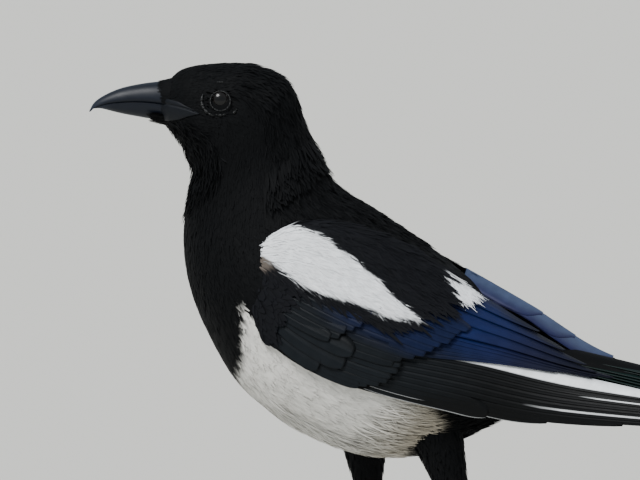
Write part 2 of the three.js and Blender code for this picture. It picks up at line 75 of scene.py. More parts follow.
@dataclass(frozen=True)
class SmoothLine:
    """A uniform Catmull-Rom curve through its points; past its ends it runs on straight."""

    points: tuple[tuple[float, ...], ...]

    def at(self, share: Array | float) -> Array:
        """Points of the curve.

        Between two points the curve is the cubic whose slope at each is half the step from
        the point before to the point after.

        Args:
            share: places along the curve, from 0 to 1.

        Returns:
            One row of coordinates for each share.
        """
        p = np.asarray(self.points, float)
        ends = np.vstack([2 * p[0] - p[1], p, 2 * p[-1] - p[-2]])
        place = np.asarray(share, float) * (len(p) - 1)
        i = np.clip(place.astype(int), 0, len(p) - 2)
        whole = (place - i)[..., None]
        w = np.clip(whole, 0, 1)
        a, b, c, d = (ends[i + k] for k in range(4))
        m0, m1 = (c - a) / 2, (d - b) / 2
        curve = b + m0 * w + (3 * (c - b) - 2 * m0 - m1) * w**2 + (2 * (b - c) + m0 + m1) * w**3
        return curve + (whole - w) * np.where(whole < 0, m0, m1)


def unit(vectors: Array) -> Array:
    """The vectors at length one."""
    return vectors / np.maximum(np.linalg.norm(vectors, axis=-1, keepdims=True), 1e-9)


def mix(a: Array | float, b: Array | float, share: Array | float) -> Array | float:
    """The value a share of the way from a to b."""
    return a + (b - a) * share


def ramp(x: Array | float, low: float, high: float) -> Array | float:
    """A smooth step from 0 at low to 1 at high."""
    t = np.clip((np.asarray(x, float) - low) / (high - low), 0, 1)
    return t * t * (3 - 2 * t)


def by_steps(steps: Steps, x: Array) -> Array:
    """Values at x, straight between the steps of place and value."""
    return np.interp(x, *np.transpose(steps))


class Form:
    """A surface over two parameters, p from front to back and q across, in millimetres."""

    outward = 1.0

    def at(self, p: Array, q: Array) -> Array:
        """Points of the surface at each p and q."""
        raise NotImplementedError

    def slopes(self, p: Array, q: Array) -> tuple[Array, Array]:
        """Steps along p and across q for one unit of each, from central differences.

        Args:
            p: places along the form.
            q: places across it.

        Returns:
            The step along and the step across, at each place.
        """
        e = 1e-3
        along = (self.at(p + e, q) - self.at(p - e, q)) / (2 * e)
        across = (self.at(p, q + e) - self.at(p, q - e)) / (2 * e)
        return along, across

    def normal(self, p: Array, q: Array) -> Array:
        """Outward unit normals: the cross product of the two slopes."""
        along, across = self.slopes(p, q)
        return self.outward * unit(np.cross(along, across))

    def over(self, p: Array, q: Array, height: Array | float) -> Array:
        """Points at a height above the surface."""
        return self.at(p, q) + self.normal(p, q) * np.asarray(height)[..., None]


def round_grid(rows: int, columns: int, last: float = 1.0) -> tuple[Array, Array]:
    """Shares along, up to the last, as a column, and shares of a turn as a row."""
    return np.linspace(0, last, rows)[:, None], np.arange(columns)[None, :] / columns


HEAD_TURN = math.radians(15)  # the head is turned to the bird's left
NECK_AXIS_X = -53.8  # about the upright line here


def turned(points: Array, share: Array | float) -> Array:
    """The points after a share of the head's turn about the neck's upright line.

    Args:
        points: rows of x, y and z, in mm.
        share: how much of the turn they take; -1 turns them back.

    Returns:
        The turned points.
    """
    angle = HEAD_TURN * np.asarray(share, float)
    x = points[..., 0] - NECK_AXIS_X
    y = points[..., 1]
    c, s = np.cos(angle), np.sin(angle)
    return np.stack([x * c - y * s + NECK_AXIS_X, x * s + y * c, points[..., 2]], -1)


@dataclass(frozen=True)
class BodyForm(Form):
    """The outline of head, neck and body: one leaning ellipse at each station.

    p runs from the bill's base to the tail's root, and q is the angle round the section, in
    turns: 0 on the right side, 0.25 on the back and 0.5 on the left side.
    """

    # back point x and z, front point x and z, half width, share of the head's turn
    stations: tuple[tuple[float, ...], ...] = (
        (-90.3, 215.9, -93.0, 198.5, 6.8, 1.0),
        (-83.4, 219.8, -86.4, 192.2, 11.8, 1.0),
        (-71.4, 221.4, -83.0, 185.2, 15.6, 1.0),
        (-57.2, 220.6, -81.1, 178.2, 17.6, 0.93),
        (-44.1, 212.9, -83.0, 168.7, 19.0, 0.8),
        (-37.9, 197.2, -84.8, 154.8, 21.5, 0.53),
        (-27.8, 176.7, -82.9, 138.2, 28.5, 0.2),
        (-8.8, 164.7, -75.7, 119.6, 34.5, 0.0),
        (10.0, 153.0, -61.3, 96.8, 36.5, 0.0),
        (25.1, 142.0, -39.8, 82.4, 35.5, 0.0),
        (37.5, 131.5, -13.9, 73.7, 31.5, 0.0),
        (45.6, 121.5, 11.9, 75.4, 24.5, 0.0),
        (53.0, 115.0, 31.9, 85.1, 16.5, 0.0),
        (59.0, 112.0, 50.6, 94.6, 10.0, 0.0),
    )
    top_narrowing: float = 0.1  # how much narrower a section is at its top
    newton_rounds: int = 14
    newton_reach: float = 0.05  # longest step of one round, in p and in q
    outward = -1.0

    def at(self, p: Array, q: Array) -> Array:
        """Points on the ellipses: the middle plus up times sine and aside times cosine.

        Args:
            p: places along the form.
            q: places across it.

        Returns:
            A point for each place.
        """
        back_x, back_z, front_x, front_z, half, turn = np.moveaxis(
            SmoothLine(self.stations).at(p), -1, 0)
        angle = 2 * np.pi * np.asarray(q)
        s, c = np.sin(angle), np.cos(angle)
        x = (back_x + front_x) / 2 + (back_x - front_x) / 2 * s
        z = (back_z + front_z) / 2 + (back_z - front_z) / 2 * s
        y = half * (1 - self.top_narrowing * s) * c
        return turned(np.stack([x, y, z], -1), turn)

    def find(self, x: Array, z: Array, side: Side) -> tuple[Array, Array]:
        """The place on the head over a point of its middle plane, before the turn.

        Newton's method walks p and q until the surface, turned back, has this x and z.

        Args:
            x: places along the middle plane.
            z: their heights.
            side: the side of the head.

        Returns:
            p and q of each.
        """
        x, z = np.broadcast_arrays(np.asarray(x, float), np.asarray(z, float))
        p, q = np.full(x.shape, 0.15), np.full(x.shape, 0.44 if side is Side.LEFT else 0.06)
        e = 1e-4
        reach = self.newton_reach
        for _ in range(self.newton_rounds):
            here, ahead, aside = (turned(self.at(p + i * e, q + j * e), -1.0)[..., ::2]
                                  for i, j in ((0, 0), (1, 0), (0, 1)))
            error = here - np.stack([x, z], -1)
            dp, dq = (ahead - here) / e, (aside - here) / e
            size = dp[..., 0] * dq[..., 1] - dp[..., 1] * dq[..., 0]
            p = p - np.clip((error[..., 0] * dq[..., 1] - error[..., 1] * dq[..., 0]) / size,
                            -reach, reach)
            q = q - np.clip((dp[..., 0] * error[..., 1] - dp[..., 1] * error[..., 0]) / size,
                            -reach, reach)
        return p, q


@dataclass(frozen=True)
class WingForm(Form):
    """The sheet that a folded wing's feathers lie on, a quarter of an ellipse in section.

    p runs from the bend of the wing to its tip, and q from the lower edge to the upper one.
    """

    side: Side
    arc_to_chord: float = 1.15
    lower: SmoothLine = SmoothLine((
        (-54.2, 29, 139), (-44.8, 36, 122), (-27.1, 38.5, 110), (-3.8, 38, 102.5),
        (24.2, 33, 96), (58.7, 27, 89.5), (125.9, 24, 87.6)))
    upper_left: SmoothLine = SmoothLine((
        (-50.5, 27, 156), (-24, 20, 164), (3, 13, 156.5), (25, 9, 143), (50.5, 7, 126.3),
        (82, 13.5, 110.9), (127, 19.5, 100)))
    upper_right: SmoothLine = SmoothLine((
        (-50.5, 27, 156), (-24, 20, 161.5), (3, 12.5, 151.5), (25, 6.5, 142.5),
        (50.5, 2.5, 130.3), (82, 9, 111.5), (127, 19, 101)))

    @property
    def outward(self) -> float:
        """The sign that turns the cross product of the slopes outwards."""
        return 1.0 if self.side is Side.LEFT else -1.0

    def at(self, p: Array, q: Array) -> Array:
        """Points on the sheet, which starts upright and ends level over the back.

        Between the edges x grows evenly, y with one less the cosine and z with the sine.

        Args:
            p: places along the form.
            q: places across it.

        Returns:
            A point for each place.
        """
        p, q = np.broadcast_arrays(np.asarray(p, float), np.asarray(q, float))
        low = self.lower.at(p)
        high = (self.upper_left if self.side is Side.LEFT else self.upper_right).at(p)
        angle = q * np.pi / 2
        x = mix(low[..., 0], high[..., 0], q)
        y = self.side.value * mix(low[..., 1], high[..., 1], 1 - np.cos(angle))
        z = mix(low[..., 2], high[..., 2], np.sin(angle))
        return np.stack([x, y, z], -1)

    def breadth(self, p: Array) -> Array:
        """Millimetres across the sheet, from edge to edge, by its chord and a little more.

        Args:
            p: places along the form.

        Returns:
            The breadth at each place.
        """
        p = np.asarray(p, float)
        chord = np.linalg.norm(self.at(p, p * 0) - self.at(p, p * 0 + 1), axis=-1)
        return self.arc_to_chord * chord


@dataclass(frozen=True)
class LimbForm(Form):
    """A limb along a curve, with a radius for each share of it. q is in turns round it."""

    line: SmoothLine
    radius: Callable[[Array], Array]
    flatten: float = 1.0

    def at(self, p: Array, q: Array) -> Array:
        """The curve's point plus its radius times cosine aside and sine to the front.

        Args:
            p: places along the form.
            q: places across it.

        Returns:
            A point for each place.
        """
        p, q = np.broadcast_arrays(np.asarray(p, float), np.asarray(q, float))
        e = 1e-3
        tangent = unit(self.line.at(p + e) - self.line.at(p - e))
        aside = np.array([0.0, 1.0, 0.0])
        across = unit(aside - tangent * (tangent @ aside)[..., None])
        front = np.cross(across, tangent)
        angle = 2 * np.pi * q
        r = self.radius(p)
        return (self.line.at(p) + across * (self.flatten * r * np.cos(angle))[..., None]
                + front * (r * np.sin(angle))[..., None])


# Meshes


@dataclass
class Patch:
    """Points and faces on their way into a piece, with what its material reads.

    Faces are quads; a triangle repeats its last corner. bake places each corner on the map
    that the colours are baked to, vane holds millimetres across and along a feather.
    """

    points: Array
    faces: Array
    tint: Array
    bake: Array
    vane: Array

    @staticmethod
    def join(patches: list["Patch"]) -> "Patch":
        """All the patches as one.

        Args:
            patches: the patches, in order.

        Returns:
            One patch with their points and faces.
        """
        start = np.cumsum([0] + [len(p.points) for p in patches[:-1]])
        return Patch(
            np.concatenate([p.points for p in patches]),
            np.concatenate([p.faces + s for p, s in zip(patches, start)]),
            np.concatenate([p.tint for p in patches]),
            np.concatenate([p.bake for p in patches]),
            np.concatenate([p.vane for p in patches]))


def grid_faces(rows: int, columns: int, wrap: bool, ring: bool = False) -> tuple[Array, Array]:
    """Quads of one grid, and each corner's row and column.

    Args:
        rows: rows of points.
        columns: points in a row.
        wrap: whether the last column joins the first.
        ring: whether the last row joins the first.

    Returns:
        The quads as point numbers, and their corners as (row, column), where the column
        past the last counts on, so that a map isn't folded back at the seam.
    """
    steps = columns if wrap else columns - 1
    i, j = np.meshgrid(np.arange(rows if ring else rows - 1), np.arange(steps), indexing="ij")
    corners = np.stack([
        np.stack([i, j], -1), np.stack([i, j + 1], -1),
        np.stack([i + 1, j + 1], -1), np.stack([i + 1, j], -1)], -2).reshape(-1, 4, 2)
    return corners[..., 0] % rows * columns + corners[..., 1] % columns, corners


def tube(points: Array, tint: Array, bake_box: tuple[float, ...] = (0, 0, 1, 1),
         flip: bool = False) -> Patch:
    """A closed tube: a grid that wraps across, with a fan to a middle point at each end.

    Args:
        points: rows by columns of places.
        tint: a colour, or rows by columns of colours.
        bake_box: the part of the baking map that it fills, low corner and high corner.
        flip: whether the faces are turned round.

    Returns:
        The tube as a patch.
    """
    rows, columns, _ = points.shape
    faces, corners = grid_faces(rows, columns, True)
    ends = np.stack([points[0].mean(0), points[-1].mean(0)])
    colours = np.broadcast_to(tint, points.shape).reshape(-1, 3)
    end_colours = np.stack([colours[0], colours[-1]])
    j = np.arange(columns)
    k = (j + 1) % columns
    first, last = rows * columns, rows * columns + 1
    base = (rows - 1) * columns
    fan_a = np.stack([np.full(columns, first), k, j, j], -1)
    fan_b = np.stack([np.full(columns, last), base + j, base + k, base + k], -1)
    fan_corners = np.zeros((2 * columns, 4, 2))
    fan_corners[:columns, :, 1] = np.stack([j + 0.5, j + 1, j, j], -1)
    fan_corners[columns:, :, 1] = np.stack([j + 0.5, j, j + 1, j + 1], -1)
    fan_corners[:columns, 1:, 0] = 0.4
    fan_corners[columns:, :, 0] = rows - 1
    fan_corners[columns:, 1:, 0] = rows - 1.4
    faces = np.concatenate([faces, fan_a, fan_b])
    share = np.concatenate([corners, fan_corners]) / [rows - 1, columns]
    x0, y0, x1, y1 = bake_box
    bake = share * [x1 - x0, y1 - y0] + [x0, y0]
    step = np.linalg.norm(np.diff(points.mean(1), axis=0), axis=-1).sum()
    girth = np.linalg.norm(points[rows // 2] - np.roll(points[rows // 2], 1, 0), axis=-1).sum()
    vane = share[..., ::-1] * [girth, step]
    if flip:
        faces, bake, vane = (turn_round(a) for a in (faces, bake, vane))
    return Patch(np.concatenate([points.reshape(-1, 3), ends]), faces,
                 np.concatenate([colours, end_colours]), bake, vane)


def turn_round(corners: Array) -> Array:
    """The same faces turned round; a triangle's repeated corner stays the last one."""
    return corners[:, [1, 0, 3, 2]]


def sheets(points: Array, tint: Array, roots: Array, across: Array, along: Array) -> Patch:
    """Many small open sheets, each a grid of the same rows and columns.

    Args:
        points: sheets by rows by columns of places.
        tint: colours of the same shape.
        roots: each sheet's place on the baking map.
        across: millimetres across, for rows and columns.
        along: millimetres along, for rows and columns.

    Returns:
        The sheets as one patch. On the baking map each is a small square at its root.
    """
    count, rows, columns, _ = points.shape
    faces, corners = grid_faces(rows, columns, False)
    all_faces = faces[None] + (np.arange(count) * rows * columns)[:, None, None]
    small = (corners / [rows - 1, columns - 1] - 0.5) * SHEET_ON_MAP
    bake = roots[:, None, None, :] + small[None]
    i, j = corners[..., 0], corners[..., 1]
    vane = np.stack([across[:, i, j], along[:, i, j]], -1)
    return Patch(points.reshape(-1, 3), all_faces.reshape(-1, 4), tint.reshape(-1, 3),
                 bake.reshape(-1, 4, 2), vane.reshape(-1, 4, 2))


def shell(top: Array, bottom: Array, tint: Array, box: tuple[float, ...],
          across: Array, along: Array, flip: bool) -> Patch:
    """A thin closed plate between two grids, with a rim between them.

    Args:
        top: rows by columns of places on the outer face.
        bottom: the same on the inner face.
        tint: colours of the outer face, also used inside.
        box: the part of the baking map for it; the inner face shares it.
        across: millimetres across for rows and columns.
        along: millimetres along for rows and columns.
        flip: whether the faces are turned round.

    Returns:
        The plate as a patch.
    """
    rows, columns, _ = top.shape
    faces, corners = grid_faces(rows, columns, False)
    under = rows * columns
    number = np.arange(under).reshape(rows, columns)
    rim = np.concatenate([number[0, :-1], number[:-1, -1], number[-1, :0:-1], number[:0:-1, 0]])
    after = np.roll(rim, -1)
    rim_faces = np.stack([rim, rim + under, after + under, after], -1)
    rim_corners = np.stack(np.divmod(rim_faces % under, columns), -1)
    all_faces = np.concatenate([faces, turn_round(faces) + under, rim_faces])
    all_corners = np.concatenate([corners, turn_round(corners), rim_corners])
    x0, y0, x1, y1 = box
    share = all_corners / [rows - 1, columns - 1]
    bake = share[..., ::-1] * [x1 - x0, y1 - y0] + [x0, y0]
    i, j = all_corners[..., 0], all_corners[..., 1]
    vane = np.stack([across[i, j], along[i, j]], -1)
    if flip:
        all_faces, bake, vane = (turn_round(a) for a in (all_faces, bake, vane))
    return Patch(np.concatenate([top.reshape(-1, 3), bottom.reshape(-1, 3)]), all_faces,
                 np.concatenate([tint.reshape(-1, 3)] * 2), bake, vane)


def bird_shift() -> Array:
    """Where the bird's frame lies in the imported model, from the place of the left eye.

    Returns:
        The shift in metres.
    """
    low, high = (np.array(corner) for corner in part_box("eye_left"))
    nominal = turned(np.array([Eye.centre[0], -Eye.centre[1], Eye.centre[2]]), 1.0)
    return (low + high) / 2 - nominal * MM


def make_piece(name: str, patch: Patch, material: Material,
               replaces: tuple[str, ...] = (), baked: bool = True) -> None:
    """A Blender object from a patch, riding on the body.

    Args:
        name: the piece's name.
        patch: its points and faces, in millimetres in the bird's frame.
        material: its finish.
        replaces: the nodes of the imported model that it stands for.
        baked: whether it carries its own baking map.
    """
    mesh = bpy.data.meshes.new(name)
    points = patch.points * MM + SHIFT
    triangle = patch.faces[:, 2] == patch.faces[:, 3]
    keep = np.ones(patch.faces.shape, bool)
    keep[triangle, 3] = False
    sizes = keep.sum(1)
    starts = np.concatenate([[0], np.cumsum(sizes)[:-1]])
    mesh.vertices.add(len(points))
    mesh.vertices.foreach_set("co", points.ravel())
    mesh.loops.add(int(sizes.sum()))
    mesh.loops.foreach_set("vertex_index", patch.faces[keep].astype(np.int32))
    mesh.polygons.add(len(patch.faces))
    mesh.polygons.foreach_set("loop_start", starts.astype(np.int32))
    mesh.update(calc_edges=True)
    for uv_name, corners in (("Vane", patch.vane), ("OFBake", patch.bake)):
        if uv_name == "Vane" or baked:
            layer = mesh.uv_layers.new(name=uv_name, do_init=False)
            layer.uv.foreach_set("vector", corners[keep].astype(np.float32).ravel())
    tint = mesh.attributes.new("Tint", "FLOAT_COLOR", "POINT")
    rgba = np.concatenate([patch.tint, np.ones((len(points), 1))], 1).astype(np.float32)
    tint.data.foreach_set("color", rgba.ravel())
    mesh.polygons.foreach_set("use_smooth", np.ones(len(patch.faces), bool))
    mesh.materials.append(material)
    mesh.validate()
    piece = bpy.data.objects.new(name, mesh)
    bpy.context.scene.collection.objects.link(piece)
    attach(piece, BODY)
    if replaces:
        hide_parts(*replaces)
    log.info("%s: %d points, %d faces", name, len(points), len(patch.faces))


# Finishes


def hex_linear(code: str) -> Array:
    """A linear colour from an sRGB hex code."""
    s = np.array([int(code[i:i + 2], 16) for i in (0, 2, 4)]) / 255
    return np.where(s <= 0.04045, s / 12.92, ((s + 0.055) / 1.055) ** 2.4)


def add_node(tree: bpy.types.NodeTree, kind: str, settings: dict[str, object] | None = None,
             inputs: dict[str | int, object] | None = None) -> bpy.types.Node:
    """A node with its settings, input values and links.

    Args:
        tree: the material's nodes.
        kind: the node's type name, without its ShaderNode part.
        settings: attributes of the node.
        inputs: a value, or an output socket to join, by the input's name or number.

    Returns:
        The node.
    """
    node = tree.nodes.new("ShaderNode" + kind)
    for key, value in (settings or {}).items():
        setattr(node, key, value)
    for key, value in (inputs or {}).items():
        if isinstance(value, bpy.types.NodeSocket):
            tree.links.new(value, node.inputs[key])
        else:
            node.inputs[key].default_value = value
    return node


def empty_material(name: str) -> tuple[Material, bpy.types.NodeTree]:
    """A new material with no nodes, and its node tree.

    Args:
        name: the material's name.

    Returns:
        The material and its tree.
    """
    material = bpy.data.materials.new(name)
    material.use_nodes = True
    material.node_tree.nodes.clear()
    return material, material.node_tree


def per_metre(size: float) -> float:
    """How many cells of a size in millimetres lie in a metre."""
    return 1 / (size * MM)


@dataclass(frozen=True)
class Plumage:
    """Feathers: keratin barbs side by side, coloured by the piece's own tint.

    The barbs lie in fine grooves that run out from the shaft, and each feather's gloss
    breaks up along them. Real barbs are about 0.3 mm apart; here they are drawn at
    barb_pitch so that they still show.
    """

    name: str
    roughness: float
    mottle: float  # how much lighter and darker patches vary
    barb_depth: float
    specular: float
    metallic: float = 0.0
    barb_pitch: float = 0.6  # mm
    barb_lean: float = -1.3  # how far a barb runs towards the tip for each mm aside
    barb_height: float = 0.3  # mm
    patch_size: float = 3.85  # mm, where the shade and the gloss change
    shake: float = 0.3  # mm by which the patches push the barbs aside
    # painted shade in the grooves between the barbs
    groove_painted_shade: float = 0.9  # how bright the grooves are beside the barbs
    roughness_range: float = 0.1
    keratin_ior: float = 1.56

    def build(self) -> Material:
        """Makes the material: sine-shaped grooves over the tint, broken up by soft noise.

        Returns:
            The material.
        """
        material, tree = empty_material(self.name)
        tint = add_node(tree, "Attribute", {"attribute_name": "Tint"})
        vane = add_node(tree, "UVMap", {"uv_map": "Vane"})
        axes = add_node(tree, "SeparateXYZ", inputs={0: vane.outputs[0]})
        away = add_node(tree, "Math", {"operation": "ABSOLUTE"}, {0: axes.outputs[0]})
        lean = add_node(tree, "Math", {"operation": "MULTIPLY_ADD"},
                        {0: away.outputs[0], 1: self.barb_lean, 2: axes.outputs[1]})
        place = add_node(tree, "TexCoord")
        noise = add_node(tree, "TexNoise", {"noise_dimensions": "3D"}, {
            "Vector": place.outputs["Object"], "Scale": per_metre(self.patch_size),
            "Detail": 3.0})
        shaken = add_node(tree, "Math", {"operation": "MULTIPLY_ADD"},
                          {0: noise.outputs[0], 1: self.shake, 2: lean.outputs[0]})
        phase = add_node(tree, "Math", {"operation": "MULTIPLY"},
                         {0: shaken.outputs[0], 1: 2 * math.pi / self.barb_pitch})
        barbs = add_node(tree, "Math", {"operation": "SINE"}, {0: phase.outputs[0]})
        bump = add_node(tree, "Bump", inputs={
            "Height": barbs.outputs[0], "Strength": self.barb_depth,
            "Distance": self.barb_height * MM})
        patchy = add_node(tree, "MapRange", inputs={
            "Value": noise.outputs[0], "From Min": 0.3, "From Max": 0.7,
            "To Min": 1 - self.mottle, "To Max": 1 + self.mottle})
        # painted shade: the grooves between the barbs are darker
        shade = add_node(tree, "MapRange", inputs={
            "Value": barbs.outputs[0], "From Min": -1.0, "To Min": self.groove_painted_shade})
        both = add_node(tree, "Math", {"operation": "MULTIPLY"},
                        {0: patchy.outputs[0], 1: shade.outputs[0]})
        colour = add_node(tree, "VectorMath", {"operation": "SCALE"},
                          {0: tint.outputs["Color"], "Scale": both.outputs[0]})
        rough = add_node(tree, "MapRange", inputs={
            "Value": noise.outputs[0], "To Min": self.roughness - self.roughness_range,
            "To Max": self.roughness + self.roughness_range})
        shader = add_node(tree, "BsdfPrincipled", inputs={
            "Base Color": colour.outputs[0], "Roughness": rough.outputs[0],
            "Normal": bump.outputs[0], "Metallic": self.metallic, "IOR": self.keratin_ior,
            "Specular IOR Level": self.specular})
        add_node(tree, "OutputMaterial", inputs={"Surface": shader.outputs[0]})
        return material


@dataclass(frozen=True)
class Horn:
    """Horny skin of bill, claws, legs and lids, blackish and smooth, paler in places: worn at
    the tips, and with a painted highlight along the bill's ridges.

    Its gloss is broad and low, and fine growth lines or small scales break it up.
    """

    name: str
    colour: str
    wear_and_sheen: str
    roughness: float
    grain: float = 1.92  # mm between growth lines
    depth: float = 0.25
    scales: float = 0.0  # mm across a scale, or 0 for none
    specular: float = 0.5
    relief: float = 0.2  # mm
    scale_edge: float = 0.12  # width of the groove between scales, as a share
    shade: tuple[float, float] = (0.75, 1.25)  # darkest and lightest patch
    horn_ior: float = 1.54

    def build(self) -> Material:
        """Makes the material: two colours by the tint's wear and painted highlight, over
        stretched noise or cells.

        Returns:
            The material.
        """
        material, tree = empty_material(self.name)
        place = add_node(tree, "TexCoord")
        stretch = add_node(tree, "Mapping", inputs={
            "Vector": place.outputs["Object"], "Scale": (0.25, 1.0, 1.0)})
        noise = add_node(tree, "TexNoise", inputs={
            "Vector": stretch.outputs[0], "Scale": per_metre(self.grain), "Detail": 4.0})
        tint = add_node(tree, "Attribute", {"attribute_name": "Tint"})
        wear_and_sheen = add_node(tree, "Mix", {"data_type": "RGBA"}, {
            0: tint.outputs["Fac"], 6: (*hex_linear(self.colour), 1),
            7: (*hex_linear(self.wear_and_sheen), 1)})
        patchy = add_node(tree, "MapRange", inputs={
            "Value": noise.outputs[0], "To Min": self.shade[0], "To Max": self.shade[1]})
        colour = add_node(tree, "VectorMath", {"operation": "SCALE"},
                          {0: wear_and_sheen.outputs[2], "Scale": patchy.outputs[0]})
        height = noise.outputs[0]
        if self.scales:
            cells = add_node(tree, "TexVoronoi", {"feature": "DISTANCE_TO_EDGE"}, {
                "Vector": place.outputs["Object"], "Scale": per_metre(self.scales)})
            edge = add_node(tree, "MapRange", inputs={
                "Value": cells.outputs[0], "From Max": self.scale_edge})
            height = edge.outputs[0]
        bump = add_node(tree, "Bump", inputs={
            "Height": height, "Strength": self.depth, "Distance": self.relief * MM})
        rough = add_node(tree, "MapRange", inputs={
            "Value": noise.outputs[0], "To Min": self.roughness - 0.1,
            "To Max": self.roughness + 0.12})
        shader = add_node(tree, "BsdfPrincipled", inputs={
            "Base Color": colour.outputs[0], "Roughness": rough.outputs[0],
            "Normal": bump.outputs[0], "IOR": self.horn_ior,
            "Specular IOR Level": self.specular})
        add_node(tree, "OutputMaterial", inputs={"Surface": shader.outputs[0]})
        return material


@dataclass(frozen=True)
class WetEye:
    """The eyeball: a dark brown iris round a black pupil, under a clear wet cornea.

    It gives the eye a small sharp highlight on near black.
    """

    name: str = "wet_eye"
    fleck_size: float = 0.67  # mm
    roughness: float = 0.2
    tear_ior: float = 1.38

    def build(self) -> Material:
        """Makes the material: the tint holds iris and pupil, and noise flecks it.

        Returns:
            The material.
        """
        material, tree = empty_material(self.name)
        tint = add_node(tree, "Attribute", {"attribute_name": "Tint"})
        place = add_node(tree, "TexCoord")
        noise = add_node(tree, "TexNoise", inputs={
            "Vector": place.outputs["Object"], "Scale": per_metre(self.fleck_size),
            "Detail": 2.0})
        patchy = add_node(tree, "MapRange", inputs={
            "Value": noise.outputs[0], "To Min": 0.7, "To Max": 1.3})
        colour = add_node(tree, "VectorMath", {"operation": "SCALE"},
                          {0: tint.outputs["Color"], "Scale": patchy.outputs[0]})
        shader = add_node(tree, "BsdfPrincipled", inputs={
            "Base Color": colour.outputs[0], "Roughness": self.roughness,
            "IOR": self.tear_ior, "Specular IOR Level": 0.5})
        add_node(tree, "OutputMaterial", inputs={"Surface": shader.outputs[0]})
        return material


@dataclass(frozen=True)
class StudioFloor:
    """A plain pale matt floor, like painted board, which lets the bird stand out."""

    name: str = "studio_floor"
    colour: str = "cfcdc6"
    roughness: float = 0.9

    def build(self) -> Material:
        """Makes the material, with one plain colour.

        Returns:
            The material.
        """
        material, tree = empty_material(self.name)
        shader = add_node(tree, "BsdfPrincipled", inputs={
            "Base Color": (*hex_linear(self.colour), 1), "Roughness": self.roughness})
        add_node(tree, "OutputMaterial", inputs={"Surface": shader.outputs[0]})
        return material


BLACK = hex_linear("050607")
SOOT = hex_linear("0a0b0d")
MANTLE = hex_linear("121317")
# slate blue: a painted sky reflection on the far tertials' upper faces
SKY_SHEEN_SLATE = hex_linear("3c4862")
WHITE = hex_linear("f2f4f6")
# the belly's white, duller than WHITE: painted shade of the bird's lower side
BELLY = hex_linear("dedcd6")
# the beige-grey of painted shadow on the belly's rear, under the wing's tip
SHADOW_BEIGE = hex_linear("9a8e76")
BROWN_GREY = hex_linear("6f665e")
BLUE = hex_linear("0a1a44")
VIOLET = hex_linear("12142e")
DEEP_BLUE = hex_linear("0a1122")
GREEN_BLACK = hex_linear("0e1216")
TAIL_GREEN = hex_linear("0c2320")
BRONZE = hex_linear("1c1220")


# Small feathers


@dataclass(frozen=True)
class Plume:
    """One kind of small feather: sizes in millimetres."""

    length: float
    width: float
    rise: float = 0.5  # height of the tip over the surface
    rows: int = 5
    columns: int = 3
    pointed: float = 0.2  # width left at the tip, as a share
    cup: float = 0.12  # how far the edges bend down
    twist: float = 0.1  # how far one edge lies higher than the other
    sink: float = 0.3  # depth of the root under the surface
    stray: float = 0.1  # how far single feathers turn from the lie, in radians
    fray: float = 0.8  # how far off its place each feather reads its colour, mm
    size_spread: float = 0.16
    bend_spread: float = 0.12  # how far tips bend aside, as a share of the length
    shade_spread: float = 0.04
    read_at: float = 0.92  # where along itself a feather reads its colour, as a share


def lay(form: Form, p: Array, q: Array, plume: Plume, rng: Generator,
        colour: Callable[[Array, Array, Array], Array], unwrap: Callable[[Array, Array], Array],
        sway: Array | float = 0.0, height: Array | float = 0.0) -> Patch:
    """Small feathers laid on a form, each a leaf that follows the surface from its root.

    A point of a leaf lies at its root plus its share of the length along the lie and its
    share of the half width across, and rises from the root's depth to the tip's height. Its
    colour is read a little behind the point itself, and each leaf is read a little off its
    place, so that a marking's edge is frayed.

    Args:
        form: the surface.
        p: the roots' places along the form.
        q: their places across it.
        plume: the kind of feather.
        rng: the seeded random source.
        colour: gives colours from p, q and the share along.
        unwrap: gives a root's place on the baking map.
        sway: angle from the lie, in radians.
        height: height of the whole feather over the surface.

    Returns:
        The feathers as a patch.
    """
    count = len(p)
    along, across = form.slopes(p, q)
    step_p = (1 / np.maximum(np.linalg.norm(along, axis=-1), 1e-3))[:, None, None]
    step_q = (1 / np.maximum(np.linalg.norm(across, axis=-1), 1e-3))[:, None, None]
    size = (1 + plume.size_spread * rng.standard_normal(count))[:, None, None]
    turn = np.broadcast_to(sway, (count,)) + plume.stray * rng.standard_normal(count)
    turn = turn[:, None, None]
    a = np.linspace(0, 1, plume.rows)[None, :, None]
    b = np.linspace(-1, 1, plume.columns)[None, None, :]
    wide = np.sqrt(1 - (1 - plume.pointed**2) * a**3) * (0.5 + 0.5 * ramp(a, 0, 0.4))
    bend = (plume.bend_spread * rng.standard_normal(count)[:, None, None]
            * plume.length * a**2)
    reach = plume.length * size * a + 0 * b
    aside = plume.width / 2 * b * wide + 0 * size
    bent = aside + bend
    p_all = p[:, None, None] + (reach * np.cos(turn) - bent * np.sin(turn)) * step_p
    q_all = q[:, None, None] + (reach * np.sin(turn) + bent * np.cos(turn)) * step_q
    tip = plume.rise * (0.6 + 0.8 * rng.random(count))[:, None, None]
    lean = plume.twist * rng.standard_normal(count)[:, None, None]
    lift = mix(-plume.sink, tip, a**0.8) - plume.cup * b**2 * wide + lean * b * wide
    points = form.over(p_all, q_all, lift + np.broadcast_to(height, (count,))[:, None, None])
    off = rng.standard_normal((2, count, 1, 1)) * plume.fray
    tint = colour(mix(p[:, None, None], p_all, plume.read_at) + off[0] * step_p,
                  mix(q[:, None, None], q_all, plume.read_at) + off[1] * step_q,
                  a + 0 * p_all)
    tint = tint * (1 + plume.shade_spread * rng.standard_normal(count))[:, None, None, None]
    root = unwrap(p, q)
    if form.outward > 0:
        points, tint, aside = points[:, :, ::-1], tint[:, :, ::-1], aside[:, :, ::-1]
    return sheets(points, np.clip(tint, 0, 1), root, aside, reach)


